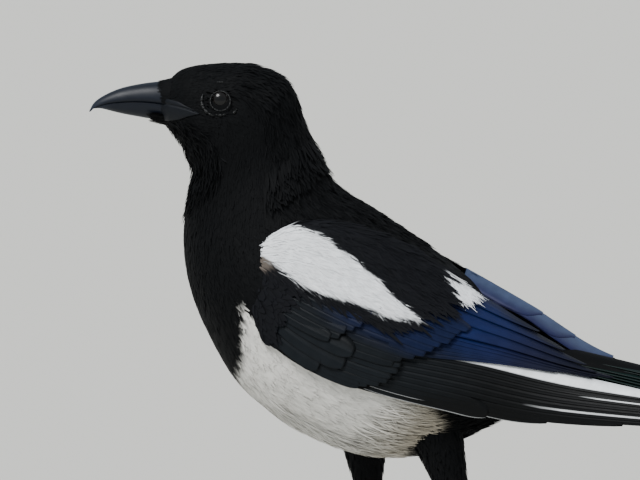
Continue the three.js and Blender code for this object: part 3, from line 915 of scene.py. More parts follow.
def scatter(form: Form, p_range: tuple[float, float], q_range: tuple[float, float],
            gap: float, rng: Generator) -> tuple[Array, Array]:
    """Roots in rows that are staggered like roof tiles, with a little disorder.

    Args:
        form: the surface.
        p_range: first and last place along it.
        q_range: first and last place across it.
        gap: millimetres between roots.
        rng: the seeded random source.

    Returns:
        The places along and across, from back to front.
    """
    spread_aside, spread_along, overlap, least_slope = 0.22, 0.3, 0.8, 20.0
    q_fine = np.linspace(*q_range, 49)
    rows_p, rows_q = [], []
    p, row = p_range[0], 0
    while p < p_range[1]:
        line = form.at(np.full_like(q_fine, p), q_fine)
        length = np.linalg.norm(np.diff(line, axis=0), axis=-1)
        along = np.linalg.norm(form.slopes(np.full_like(q_fine, p), q_fine)[0], axis=-1)
        count = max(int(length.sum() / gap), 3)
        share = (np.arange(count) + 0.5 * (row % 2) + 0.25) / count
        share = share + spread_aside * rng.standard_normal(count) / count
        reached = np.concatenate([[0], np.cumsum(length)]) / length.sum()
        q = np.interp(share, reached, q_fine)
        local = np.interp(q, q_fine, along)
        rows_q.append(q)
        rows_p.append(p + spread_along * gap * rng.standard_normal(count)
                      / np.maximum(local, least_slope))
        p += overlap * gap / max(float(np.median(along)), least_slope)
        row += 1
    return np.concatenate(rows_p[::-1]), np.concatenate(rows_q[::-1])


# The body


@dataclass(frozen=True)
class Zone:
    """A stretch of the body with one kind of small feather."""

    name: str
    p_range: tuple[float, float]
    q_range: tuple[float, float]
    spacing: float  # mm between roots
    plume: Plume
    sway: float = 0.0


ZONES = (
    Zone("face_feathers", (0.012, 0.13), (0.0, 1.0), 0.62,
         Plume(3.2, 0.75, 0.15, cup=0.04, twist=0.06, sink=0.2)),
    Zone("head_feathers", (0.12, 0.31), (0.0, 1.0), 0.82,
         Plume(4.8, 0.95, 0.2, cup=0.04, twist=0.06)),
    Zone("neck_feathers", (0.29, 0.51), (0.0, 1.0), 1.15,
         Plume(8.5, 1.4, 0.3, cup=0.05, twist=0.06)),
    Zone("body_feathers", (0.49, 0.995), (0.0, 1.0), 1.75,
         Plume(13.0, 2.1, 0.3, cup=0.03, twist=0.03)),
    Zone("belly_down", (0.5, 0.86), (0.5, 1.0), 0.95,
         Plume(9.0, 0.38, 0.22, columns=2, cup=0.0, twist=0.02, stray=0.06)),
    Zone("nape_down", (0.2, 0.6), (0.08, 0.42), 1.5,
         Plume(7.0, 0.45, 0.7, columns=2, cup=0.0, twist=0.1, stray=0.2)),
    Zone("hind_crown", (0.235, 0.285), (0.1, 0.4), 1.0,
         Plume(6.0, 0.9, 1.2, cup=0.04, twist=0.06, stray=0.1)),
    Zone("nape_edge", (0.395, 0.43), (0.06, 0.44), 1.1,
         Plume(8.0, 1.1, 1.8, cup=0.04, twist=0.06, stray=0.1)),
    Zone("throat_hackles", (0.02, 0.33), (0.55, 0.95), 1.4,
         Plume(5.0, 0.5, 1.1, columns=2, cup=0.0, twist=0.1, stray=0.25)),
    Zone("vent_wisps", (0.74, 0.97), (0.52, 0.98), 1.3,
         Plume(15.0, 0.45, 1.6, rows=7, columns=2, cup=0.0, twist=0.1, stray=0.2)),
    Zone("thigh_wisps", (0.64, 0.8), (0.64, 0.86), 1.2,
         Plume(15.0, 0.4, 1.3, rows=7, columns=2, cup=0.0, twist=0.06, stray=0.16), 0.1),
)


@dataclass
class Coat:
    """Skin and small feathers of head, neck and body."""

    form: BodyForm = field(default_factory=BodyForm)
    depth: float = 0.7  # how far the skin lies inside the plumage
    skin_rows: int = 150
    skin_columns: int = 96
    eye_room: float = 4.7  # no feather reaches this close to an eye's middle, in mm
    gape_end: float = -78.8  # the bare gape ends here, before the head's turn
    gape_room: float = 0.2  # how far feathers overlap the gape's edges, in mm
    front_caps: tuple[float, ...] = (0.55, 0.85)  # sizes of the rings that close the front
    rear_caps: tuple[float, ...] = (0.85, 0.5)
    seed: int = 11
    # where the white begins and ends along the body, by the angle from the back in turns,
    # and how high it reaches, by the place along the body
    white_from: Steps = (
        (0.28, 0.53), (0.3, 0.54), (0.325, 0.557), (0.345, 0.577), (0.37, 0.594), (0.42, 0.604))
    white_top: Steps = (
        (0.5, 0.304), (0.56, 0.308), (0.6, 0.29), (0.65, 0.24), (0.7, 0.22))
    white_to: Steps = (
        (0.27, 0.81), (0.28, 0.82), (0.31, 0.845), (0.33, 0.85), (0.37, 0.835), (0.4, 0.82))
    white_fades: tuple[float, float, float] = (0.005, 0.01, 0.004)  # front, rear, upper edge
    # painted shadow under the wing's tip: the belly's white darkens between these places, by at
    # most the next value
    shadow_from: tuple[float, float] = (0.73, 0.83)  # the belly greys between these places
    deepest_shadow: float = 0.75

    @staticmethod
    def unwrap(p: Array, q: Array) -> Array:
        """A place on the baking map from a place on the body."""
        return np.stack([np.clip(p, 0, 1) * 0.98 + 0.01, (q % 1.0) * 0.98 + 0.01], -1)

    def tint(self, p: Array, q: Array, a: Array) -> Array:
        """The plumage's colour: black, and white on belly and flanks.

        Args:
            p: places along the body.
            q: places round it.
            a: shares along the feather.

        Returns:
            A colour for each point. Behind, the white is darkened to beige-grey as painted
            shadow under the wing's tip.
        """
        around = np.abs((q + 0.25) % 1.0 - 0.5)
        first = by_steps(self.white_from, around)
        last = by_steps(self.white_to, around)
        front, rear, upper = self.white_fades
        white = ramp(p - first, -front, front) * ramp(last - p, -rear, rear)
        highest = by_steps(self.white_top, p)
        white = white * ramp(around - highest, -upper, upper)
        # painted shadow: the white darkens towards beige-grey behind, most on the flanks under
        # the wing's tip
        shadowed = ramp(p, *self.shadow_from) * mix(1.0, 0.7, ramp(around, 0.36, 0.46))
        pale = mix(BELLY, SHADOW_BEIGE, self.deepest_shadow * shadowed[..., None])
        black = mix(BLACK, SOOT, (0.6 * a)[..., None])
        root_shade = mix(0.92, 1.0, a)[..., None]
        return mix(black, pale * root_shade, white[..., None])

    def skin(self) -> Patch:
        """The closed skin of head, neck and body, inside the plumage by its depth.

        Returns:
            The skin, a tube whose ends narrow in rings.
        """
        p, q = np.broadcast_arrays(*round_grid(self.skin_rows, self.skin_columns))
        points = self.form.over(p, q, -self.depth + 0 * p)
        ends = [mix(points[0].mean(0), points[0], s) for s in self.front_caps]
        tail = [mix(points[-1].mean(0), points[-1], s) for s in self.rear_caps]
        tint = self.tint(p, q, 0 * p)
        points = np.concatenate([ends, points, tail])
        tint = np.concatenate([tint[:1], tint[:1], tint, tint[-1:], tint[-1:]])
        return tube(points, tint, (0.01, 0.01, 0.99, 0.99))

    def clear_of_skin(self, p: Array, q: Array, reach: float) -> Array:
        """Which feathers stay clear of the eyes, from root to tip, and of the gape.

        Args:
            p: the roots' places along the body.
            q: their places round it.
            reach: length of the feathers, in mm.

        Returns:
            True for each feather that stays.
        """
        along = self.form.slopes(p, q)[0]
        clear = np.ones(len(p), bool)
        x, _, z = np.moveaxis(turned(self.form.at(p, q), -1.0), -1, 0)
        low, high, _ = Bill.gape_lines(x)
        clear &= (z < low + self.gape_room) | (z > high - self.gape_room) | (x > self.gape_end)
        for side in Side:
            middle = Eye(side).middle()
            for share in (0.0, 0.5, 1.0):
                step = share * reach / np.maximum(np.linalg.norm(along, axis=-1), 1e-3)
                away = np.linalg.norm(self.form.at(p + step, q) - middle, axis=-1)
                clear &= away > self.eye_room
        return clear

    def build(self, finish: Material) -> None:
        """Makes the skin and the small feathers over it.

        Args:
            finish: the plumage's material.
        """
        rng = np.random.default_rng(self.seed)
        make_piece("skin", self.skin(), finish, ("head", "neck", "torso"))
        for zone in ZONES:
            p, q = scatter(self.form, zone.p_range, zone.q_range, zone.spacing, rng)
            if zone.p_range[0] < 0.2:
                keep = self.clear_of_skin(p, q, zone.plume.length)
                p, q = p[keep], q[keep]
            patch = lay(self.form, p, q, zone.plume, rng, self.tint, self.unwrap, zone.sway)
            make_piece(zone.name, patch, finish)


# The wings and the tail


@dataclass(frozen=True)
class Tier:
    """One row of a folded wing's feathers, from its lowest feather to its highest.

    Roots, middles and tips are places on the wing's sheet, spread evenly over the row; lift
    is the height of root and tip. Each feather lies over the next lower one like a roof
    tile, and reaches below and above its own middle line by shares of the row's spacing.
    """

    name: str
    count: int
    lift: tuple[float, float]
    roots: Steps
    tips: Steps
    bow: float = 0.0  # how far the middle lies below the straight line, in v
    below: float = 0.65
    above: float = 1.5
    last_above: float = 1.5  # the same for the highest feather
    tile: float = 0.3  # how much higher each feather lies than the one under it, mm
    blunt: float = 0.3  # width left at the tip, as a share


TIERS = (
    Tier("primaries", 10, (-1.2, -0.2), ((0.44, 0.02), (0.44, 0.2)),
         ((0.76, 0.03), (0.85, 0.07), (0.92, 0.12), (0.98, 0.18), (1.0, 0.26), (1.0, 0.34),
          (0.99, 0.42), (0.98, 0.5), (0.97, 0.57), (0.955, 0.64)), 0.0, 0.6, 2.0, 3.8, 0.2,
         0.25),
    Tier("secondaries", 8, (-0.9, 0.2), ((0.44, 0.22), (0.44, 0.5)),
         ((0.8, 0.64), (0.825, 0.7), (0.845, 0.76), (0.86, 0.82), (0.87, 0.88)),
         0.07, 0.35, 1.8, 1.8, 0.18, 0.35),
    Tier("tertials", 4, (-0.4, 0.9), ((0.46, 0.5), (0.48, 0.9)),
         ((0.845, 0.84), (0.82, 0.9), (0.77, 0.95), (0.7, 0.98)), 0.03, 0.75, 1.2, 1.0, 0.25,
         0.35),
    Tier("primary_coverts", 7, (0.0, 0.9), ((0.22, 0.03), (0.26, 0.15)),
         ((0.48, 0.015), (0.52, 0.06), (0.545, 0.12), (0.55, 0.2)), 0.0, 0.7, 1.5, 1.5, 0.12,
         0.4),
    Tier("greater_coverts", 10, (0.2, 1.2), ((0.27, 0.16), (0.36, 0.52)),
         ((0.53, 0.2), (0.58, 0.32), (0.61, 0.46), (0.62, 0.6)), 0.0, 0.7, 1.5, 1.5, 0.11,
         0.5),
    Tier("alula", 3, (0.7, 1.6), ((0.13, 0.07), (0.15, 0.17)),
         ((0.37, 0.045), (0.42, 0.1), (0.43, 0.17)), 0.0, 0.7, 1.2, 1.2, 0.25, 0.35),
    Tier("median_coverts", 9, (0.9, 2.1), ((0.15, 0.17), (0.22, 0.46)),
         ((0.37, 0.19), (0.42, 0.32), (0.44, 0.46)), 0.0, 0.7, 1.4, 1.4, 0.1, 0.55),
)


# the primaries whose white inner web shows: where it starts along them, and how white it is
WHITE_WEBS = {9: (0.24, 1.0), 7: (0.78, 0.8), 4: (0.66, 0.6)}


@dataclass
class Wing:
    """One folded wing."""

    side: Side
    thickness: float = 0.22
    rows: int = 22
    tip_from: float = 0.84  # where a feather starts to narrow to its tip
    tip_crowding: float = 1.35  # above 1 the rows of points stand closer at a feather's tip
    across: tuple[float, ...] = (-1, -0.8, -0.45, -0.08, 0, 0.08, 0.5, 1.0)  # points across
    tip_spread: float = 0.004  # how far single tips lie off the row, along the sheet
    shaft_height: float = 0.1
    wave_height: float = 0.06
    core_reach: float = 0.56  # how far back the flesh goes along the sheet
    core_thick: float = 3.0
    seed: int = 5
    # where each inner web of the far tertials starts and ends along the sheet, and its lift
    far_webs: tuple[tuple[float, float, float], ...] = (
        (0.58, 0.83, 0.9), (0.54, 0.76, 1.2), (0.49, 0.69, 1.5))
    web_slope: float = 0.6  # how far a web falls for each mm inwards
    web_overhang: float = 3.5  # how far a web reaches past the middle plane
    tail_top: tuple[float, float, float] = (57.0, 116.2, -0.155)  # x, z and slope over the tail
    tail_front: float = 52.0  # ahead of this the webs may hang lower
    # the white shoulder on the sheet: its upper and its lower edge
    white_top: Steps = (
        (0.08, 1.02), (0.1, 0.87), (0.13, 0.78), (0.17, 0.735), (0.2, 0.72), (0.25, 0.66),
        (0.3, 0.645), (0.35, 0.6), (0.4, 0.575), (0.45, 0.54), (0.5, 0.515), (0.53, 0.5))
    white_base: Steps = (
        (0.03, 0.5), (0.06, 0.48), (0.1, 0.43), (0.15, 0.4), (0.2, 0.37), (0.25, 0.365),
        (0.3, 0.375), (0.35, 0.4), (0.4, 0.415), (0.45, 0.42), (0.48, 0.44), (0.53, 0.5))
    # how far back the mantle's feathers have their roots, by the place across the sheet
    mantle_end: Steps = (
        (0.36, 0.4), (0.45, 0.44), (0.52, 0.455), (0.62, 0.485), (0.7, 0.495), (0.8, 0.455),
        (0.93, 0.415), (1.0, 0.4))
    brown_tuft: tuple[float, float] = (0.07, 0.42)  # brown-grey down below the white's front

    def __post_init__(self) -> None:
        """Sets the sheet and the seeded random source."""
        self.form = WingForm(self.side)
        self.rng = np.random.default_rng(self.seed)

    def colours(self, tier: Tier, order: int, a: Array, b: Array, u: Array, v: Array) -> Array:
        """The colours of one flight feather or covert.

        Args:
            tier: its row.
            order: its number in the row, from the lowest.
            a: shares along it.
            b: shares across it, from its lower edge at -1 to its covered edge at 1.
            u: places along the sheet.
            v: places across the sheet.

        Returns:
            A colour for each point.
        """
        a3, b3 = a[..., None], b[..., None]
        if tier.name == "primaries":
            web = mix(BLACK, GREEN_BLACK, ramp(0.6 - a3, 0, 0.4))
            first, edge = WHITE_WEBS.get(order, (0.3, 0.0))
            inner = ramp(b3, -0.06, 0.0) * ramp(a3, first, first + 0.05)
            outer = 0.7 * ramp(-0.85 - b3, 0.0, 0.08) * ramp(a3, 0.05, 0.15) * (order < 2)
            shown = np.where(b3 > 0, inner * edge * ramp(0.975 - a3, 0, 0.02), outer)
            return mix(web, WHITE, shown)
        if tier.name in ("secondaries", "tertials"):
            glow = ramp(u, 0.5, 0.62) * ramp(v, 0.3, 0.55)
            base = mix(DEEP_BLUE, BLUE, glow[..., None])
            base = mix(base, VIOLET, (ramp(u, 0.62, 0.76) * 0.8)[..., None])
            # painted shade: near the upper edge, in the gap under the far wing, the feathers
            # darken towards black; they also darken towards black near the wing's end
            shade = np.maximum(ramp(u, 0.68, 0.84), ramp(v, 0.82, 0.97) * ramp(u, 0.58, 0.68))
            base = mix(base, BLACK, 0.75 * shade[..., None])
            return mix(base, BLACK, 0.4 * ramp(b3, 0.1, 0.6))
        if tier.name in ("primary_coverts", "alula"):
            return mix(GREEN_BLACK * 1.25, BLACK, 0.8 * ramp(b3, 0.0, 0.8))
        glow = ramp(v, 0.22, 0.36) * ramp(u, 0.26, 0.4)
        base = mix(GREEN_BLACK * 1.1, mix(DEEP_BLUE, BLUE, 0.45), glow[..., None])
        return mix(base, BLACK, 0.35 * ramp(b3, 0.0, 0.6))

    def vane(self, tier: Tier, order: int, box: tuple[float, ...]) -> Patch:
        """One feather of a tier: a thin arched plate with a raised shaft.

        Its height over the sheet falls from its lower edge to its covered edge by tile for
        each spacing of the row, and a narrow ridge along the middle line is the shaft.

        Args:
            tier: its row.
            order: its number in the row, from the lowest.
            box: its part of the baking map.

        Returns:
            The feather as a patch.
        """
        share = order / (tier.count - 1)
        roots, tips = Places(tier.roots), Places(tier.tips)
        root, tip = roots.at(share), tips.at(share)
        tip = tip + [self.tip_spread * self.rng.standard_normal(), 0]
        a = 1 - (1 - np.linspace(0, 1, self.rows)[:, None]) ** self.tip_crowding
        steps = np.array(self.across)[None, :]
        above = tier.last_above if order == tier.count - 1 else tier.above
        b = np.where(steps < 0, steps * tier.below, steps * above)
        bow = tier.bow * np.sin(np.pi * a)
        u, v0 = mix(root[0], tip[0], a), mix(root[1], tip[1], a) - bow
        low, high = (mix(roots.at(s)[1], tips.at(s)[1], a) for s in (0, 1))
        spacing = (high - low) / (tier.count - 1)
        end = np.clip((a - self.tip_from) / (1 - self.tip_from), 0, 1)
        wide = mix(0.6, 1.0, ramp(a, 0, 0.35)) * np.sqrt(1 - (1 - tier.blunt**2) * end**2.2)
        v = np.clip(v0 + b * wide * spacing, -0.03, 1)
        shaft = self.shaft_height * (np.abs(steps) < 0.05) * (1 - 0.7 * a)
        wave = self.wave_height * np.sin(7 * a + 3 * order) * b
        height = mix(*tier.lift, a) - b * wide * tier.tile + shaft + wave
        u = u + 0 * v
        top = self.form.over(u, v, height)
        bottom = self.form.over(u, v, height - self.thickness)
        across = b * wide * spacing * self.form.breadth(u[:, :1])
        length = float(np.linalg.norm(top[-1, 4] - top[0, 4]))
        tint = self.colours(tier, order, a + 0 * v, steps + 0 * v, u, v)
        return shell(top, bottom, tint, box, across, a * length + 0 * v,
                     self.side is Side.LEFT)

    def inner_web(self, first: float, last: float, lift: float,
                  box: tuple[float, ...]) -> Patch:
        """The inner web of a tertial, which slopes down over the rump from the wing's edge.

        Across, it starts a little below the edge on the sheet, crosses it at its crest and
        falls away inwards, at most to just over the tail's root. It narrows to a round tip.

        Args:
            first: where it starts along the sheet.
            last: where it ends.
            lift: height of its crest over the sheet.
            box: its part of the baking map.

        Returns:
            The web as a patch.
        """
        a = 1 - (1 - np.linspace(0, 1, 26)[:, None]) ** 1.5
        c = np.array([-1.0, -0.5, 0.0, 0.15, 0.4, 0.7, 1.0])[None, :]
        u = mix(first, last, a) + 0 * c
        wide = np.sqrt(np.clip(1 - 0.96 * ramp(a, 0.7, 1.0) ** 2, 0, 1))
        v = 1 + 0.07 * np.clip(c, None, 0) * wide
        top = self.form.over(u, v, lift - 0.25 * c**2)
        inward = np.clip(c, 0, None) * wide * np.clip(
            np.abs(top[..., 1]) + self.web_overhang, 0, 2 * self.web_overhang)
        top = top + np.stack([0 * u, -self.side.value * inward, -self.web_slope * inward], -1)
        tail_x, tail_z, slope = self.tail_top
        over_tail = (tail_z + slope * (top[..., 0] - tail_x)
                     - 40 * (top[..., 0] < self.tail_front))
        top[..., 2] = np.maximum(top[..., 2], over_tail - 0.6 * np.clip(c, 0, None))
        bottom = top - np.array([0, 0, self.thickness])
        # painted reflection: slate blue from the sky at the crest, turning to a brighter violet
        # painted highlight inwards
        tint = mix(SKY_SHEEN_SLATE, VIOLET * 2.0, (ramp(c, 0.2, 1.0) + 0 * u)[..., None])
        return shell(top, bottom, tint, box, 5 * c + 0 * u, 60 * a + 0 * c,
                     self.side is Side.LEFT)

    def flight(self) -> Patch:
        """All the large feathers of the wing, each in its own strip of the baking map.

        Returns:
            The feathers as one patch.
        """
        webs = self.far_webs if self.side is Side.RIGHT else ()
        total = sum(tier.count for tier in TIERS) + len(webs)
        strips = iter([(i / total + 0.001, 0.01, (i + 1) / total - 0.001, 0.99)
                       for i in range(total)])
        patches = [self.vane(tier, order, next(strips))
                   for tier in TIERS for order in range(tier.count)]
        patches += [self.inner_web(*web, next(strips)) for web in webs]
        return Patch.join(patches)

    def core(self) -> Patch:
        """The flesh of the wing under its feathers, a closed bag along the sheet.

        Its section is flat and round-ended, and thins behind by one less the square of the
        share along.

        Returns:
            The bag as a patch.
        """
        u, turn = round_grid(30, 40, self.core_reach)
        angle = 2 * np.pi * turn
        u, v = np.broadcast_arrays(u, 0.5 - 0.5 * np.cos(angle))
        front = np.clip(0.3 + u * 6, 0, 1)
        thick = front * (1 - (u / (self.core_reach + 0.01)) ** 2) * self.core_thick
        flat = np.where(np.sin(angle) < 0, 0.9, 0.6)
        height = -1.2 * (u / self.core_reach) + thick * np.sin(angle) * flat
        return tube(self.form.over(u, v, height), BLACK, flip=self.side is Side.LEFT)

    def shoulder_tint(self, p: Array, q: Array, a: Array) -> Array:
        """The colour of a small feather on the wing: the white shoulder and the black rest.

        Args:
            p: places along the form.
            q: places across it.
            a: shares along the feather.

        Returns:
            A colour for each point.
        """
        top, base = by_steps(self.white_top, p), by_steps(self.white_base, p)
        white = ramp(top - q, -0.008, 0.008) * ramp(q - base, -0.01, 0.01)
        white = white * ramp(p, 0.02, 0.03) * ramp(0.54 - p, 0, 0.01)
        away = np.hypot((p - self.brown_tuft[0]) * 1.4, q - self.brown_tuft[1])
        brown = ramp(0.1 - away, 0.0, 0.06) * (1 - white)
        black = mix(SOOT, MANTLE, a[..., None])
        return mix(mix(black, BROWN_GREY, 0.8 * brown[..., None]), WHITE, white[..., None])

    def hind_patch_tint(self, p: Array, q: Array, a: Array) -> Array:
        """The streaked white of the innermost scapulars: some barbs are black.

        Args:
            p: places along the form.
            q: places across it.
            a: shares along the feather.

        Returns:
            A colour for each point.
        """
        streak = np.sin(q * 190 + 3 * np.sin(q * 57)) > 0.1
        shown = np.where(streak, 0.15 + 0 * a, ramp(a, 0.05, 0.3)) + ramp(a, 0.6, 0.9) * 0.9
        return mix(BLACK, WHITE, np.clip(shown, 0, 1)[..., None])

    def unwrap(self, p: Array, q: Array) -> Array:
        """A place on the baking map from a place on the sheet."""
        return np.stack([np.clip(p, 0, 1) * 0.96 + 0.02, np.clip(q, 0, 1) * 0.96 + 0.02], -1)

    def small(self) -> Patch:
        """Lesser coverts and scapulars, from the bend back over the larger coverts.

        Returns:
            The feathers as one patch.
        """
        parts = []
        kinds = (
            ((-0.03, 0.17), (0.0, 0.45), Plume(7.5, 2.6, 0.5, cup=0.1, twist=0.08), 1.6, 1.5,
             0.0),
            ((0.01, 0.5), (0.38, 0.99), Plume(15.0, 1.7, 0.3, rows=9, cup=0.04, twist=0.03,
                                              stray=0.04, fray=0.3), 1.5, 1.9, -0.1),
            ((0.03, 0.5), (0.36, 0.99), Plume(11.0, 0.45, 0.4, rows=7, columns=2, cup=0.0,
                                              twist=0.04, stray=0.06, fray=0.4), 1.2, 2.0,
             -0.1),
        )
        for p_range, q_range, plume, gap, height, sway in kinds:
            p, q = scatter(self.form, p_range, q_range, gap, self.rng)
            last = by_steps(self.mantle_end, q)
            keep = p < np.maximum(last, p_range[1] * (p_range[1] < 0.3))
            p, q = p[keep], q[keep]
            fade = height * ramp(p, -0.08, 0.05) * (0.3 + 0.7 * ramp(q, 0.0, 0.1))
            fade = fade * (1 - 0.7 * ramp(q, 0.85, 1.0))
            parts.append(lay(self.form, p, q, plume, self.rng, self.shoulder_tint, self.unwrap,
                             sway, fade))
        count = 620
        p = self.rng.uniform(0.465, 0.5, count)
        q = self.rng.uniform(0.85, 0.97, count)
        plume = Plume(13.0, 0.45, 0.2, rows=7, columns=2, twist=0.03, stray=0.05)
        parts.append(lay(self.form, p, q, plume, self.rng, self.hind_patch_tint, self.unwrap,
                         -0.3, 1.5))
        return Patch.join(parts)

    def build(self, gloss: Material, soft: Material) -> None:
        """Makes the wing's pieces.

        Args:
            gloss: the material of the large feathers.
            soft: the material of the small ones.
        """
        word = self.side.name.lower()
        make_piece(f"wing_core_{word}", self.core(), soft, baked=False)
        make_piece(f"wing_vanes_{word}", self.flight(), gloss,
                   (f"wing_{word}",))
        make_piece(f"shoulder_feathers_{word}", self.small(), soft)


@dataclass(frozen=True)
class Places:
    """Straight steps between [u, v] places."""

    places: Steps

    def at(self, share: float) -> Array:
        """The place a share of the way along.

        Args:
            share: how far along, from 0 to 1.

        Returns:
            Its u and v.
        """
        p = np.asarray(self.places)
        knots = np.linspace(0, 1, len(p))
        return np.array([np.interp(share, knots, p[:, k]) for k in range(2)])


@dataclass
class Tail:
    """Twelve graded tail feathers and the coverts over their roots."""

    length: float = 236.0
    slope: float = math.radians(-8.8)
    root: tuple[float, float] = (57.0, 115.5)
    thickness: float = 0.35
    rows: int = 40
    covert_reach: float = 0.36  # how far the coverts go, as a share of the length
    shaft_height: float = 0.22
    curl_height: float = 0.14
    sag: float = 0.012  # how far the fan's sides hang, by the square of the way aside
    # share of the length, inner edge, outer edge and depth under the top line
    steps: tuple[tuple[float, ...], ...] = (
        (1.0, -11.5, 11.5, 0.0), (0.985, -11.0, 12.0, 0.75), (0.925, 0.4, 12.8, 1.5),
        (0.835, 0.4, 14.0, 2.3), (0.745, 0.4, 15.0, 3.1), (0.655, 0.4, 15.9, 3.9),
        (0.56, 0.4, 16.6, 4.7))

    def point(self, along: Array, aside: Array, down: Array) -> Array:
        """A point from a distance along the tail, one to the side and one down.

        Args:
            along: mm from the root along the slope.
            aside: mm to the side.
            down: mm under the top line.

        Returns:
            A point for each place.
        """
        along, aside, down = np.broadcast_arrays(along, aside, down)
        c, s = math.cos(self.slope), math.sin(self.slope)
        sag = self.sag * aside**2
        return np.stack([self.root[0] + along * c + down * s, aside,
                         self.root[1] + along * s - (down + sag) * c], -1)

    def feather(self, step: tuple[float, ...], side: int, box: tuple[float, ...]) -> Patch:
        """One tail feather, a long plate with a raised shaft and a round tip.

        Args:
            step: its share of the length, its edges and its depth.
            side: 1 or -1, the side of the tail.
            box: its part of the baking map.

        Returns:
            The feather as a patch.
        """
        share, inner, outer, down = step
        a = 1 - (1 - np.linspace(0.02, 1, self.rows)[:, None]) ** 1.4
        steps = np.array([-1, -0.75, -0.4, -0.06, 0, 0.06, 0.4, 0.75, 1])[None, :]
        length = self.length * share
        along = length * a
        close = 0.6 + 0.4 * np.clip(along / (0.4 * self.length), 0, 1)
        half = (outer - inner) / 2
        taper = np.sqrt(np.clip(1 - np.clip((a - 0.72) / 0.28, 0, 1) ** 2.0 * 0.96, 0, 1))
        wide = mix(0.6, 1.0, ramp(a, 0, 0.4)) * taper
        centre = (inner + outer) / 2 * close
        centre = np.where(inner < 0, centre * 0, np.maximum(centre, inner + half * wide * close))
        aside = centre + steps * half * wide * close
        shaft = self.shaft_height * (np.abs(steps) < 0.05) * (1 - 0.8 * a)
        curl = self.curl_height * steps**2 * np.sin(6 * a + down)
        top = self.point(along, side * aside, down - shaft + curl)
        bottom = self.point(along, side * aside, down + self.thickness + curl)
        a3 = (a + 0 * steps)[..., None]
        b3 = np.abs(steps + 0 * a)[..., None]
        tint = mix(TAIL_GREEN, BRONZE, ramp(a3, 0.72, 0.86))
        tint = mix(tint, DEEP_BLUE, ramp(a3, 0.88, 0.96) * 0.6)
        tint = mix(tint, SOOT, 0.5 * ramp(b3, 0.3, 1.0))
        return shell(top, bottom, tint, box, steps * half * wide * close, along + 0 * steps,
                     side > 0)

    def coverts(self) -> Patch:
        """The covert-covered root of the tail, deep against the body and thin behind.

        Returns:
            The root as a patch.
        """
        t, turn = round_grid(24, 32)
        angle = 2 * np.pi * turn
        top = -2.2 + 4 * t**1.5
        bottom = 4.6 + 10 * (1 - t) ** 1.2
        half = 8.2 - 3.2 * t * t
        down = mix(top, bottom, 0.5 - 0.5 * np.sin(angle))
        along = self.covert_reach * self.length * t
        return tube(self.point(along, half * np.cos(angle), down), BLACK)

    def build(self, gloss: Material, soft: Material) -> None:
        """Makes the tail's pieces.

        Args:
            gloss: the material of the long feathers.
            soft: the material of the coverts.
        """
        patches = []
        for i, step in enumerate(self.steps):
            for side in ((1,) if i == 0 else (-1,) if i == 1 else (-1, 1)):
                x = len(patches) / 12
                patches.append(self.feather(step, side, (x + 0.002, 0.01, x + 0.081, 0.99)))
        make_piece("tail_feathers", Patch.join(patches), gloss, ("tail",))
        make_piece("tail_coverts", self.coverts(), soft, baked=False)


# Head and feet


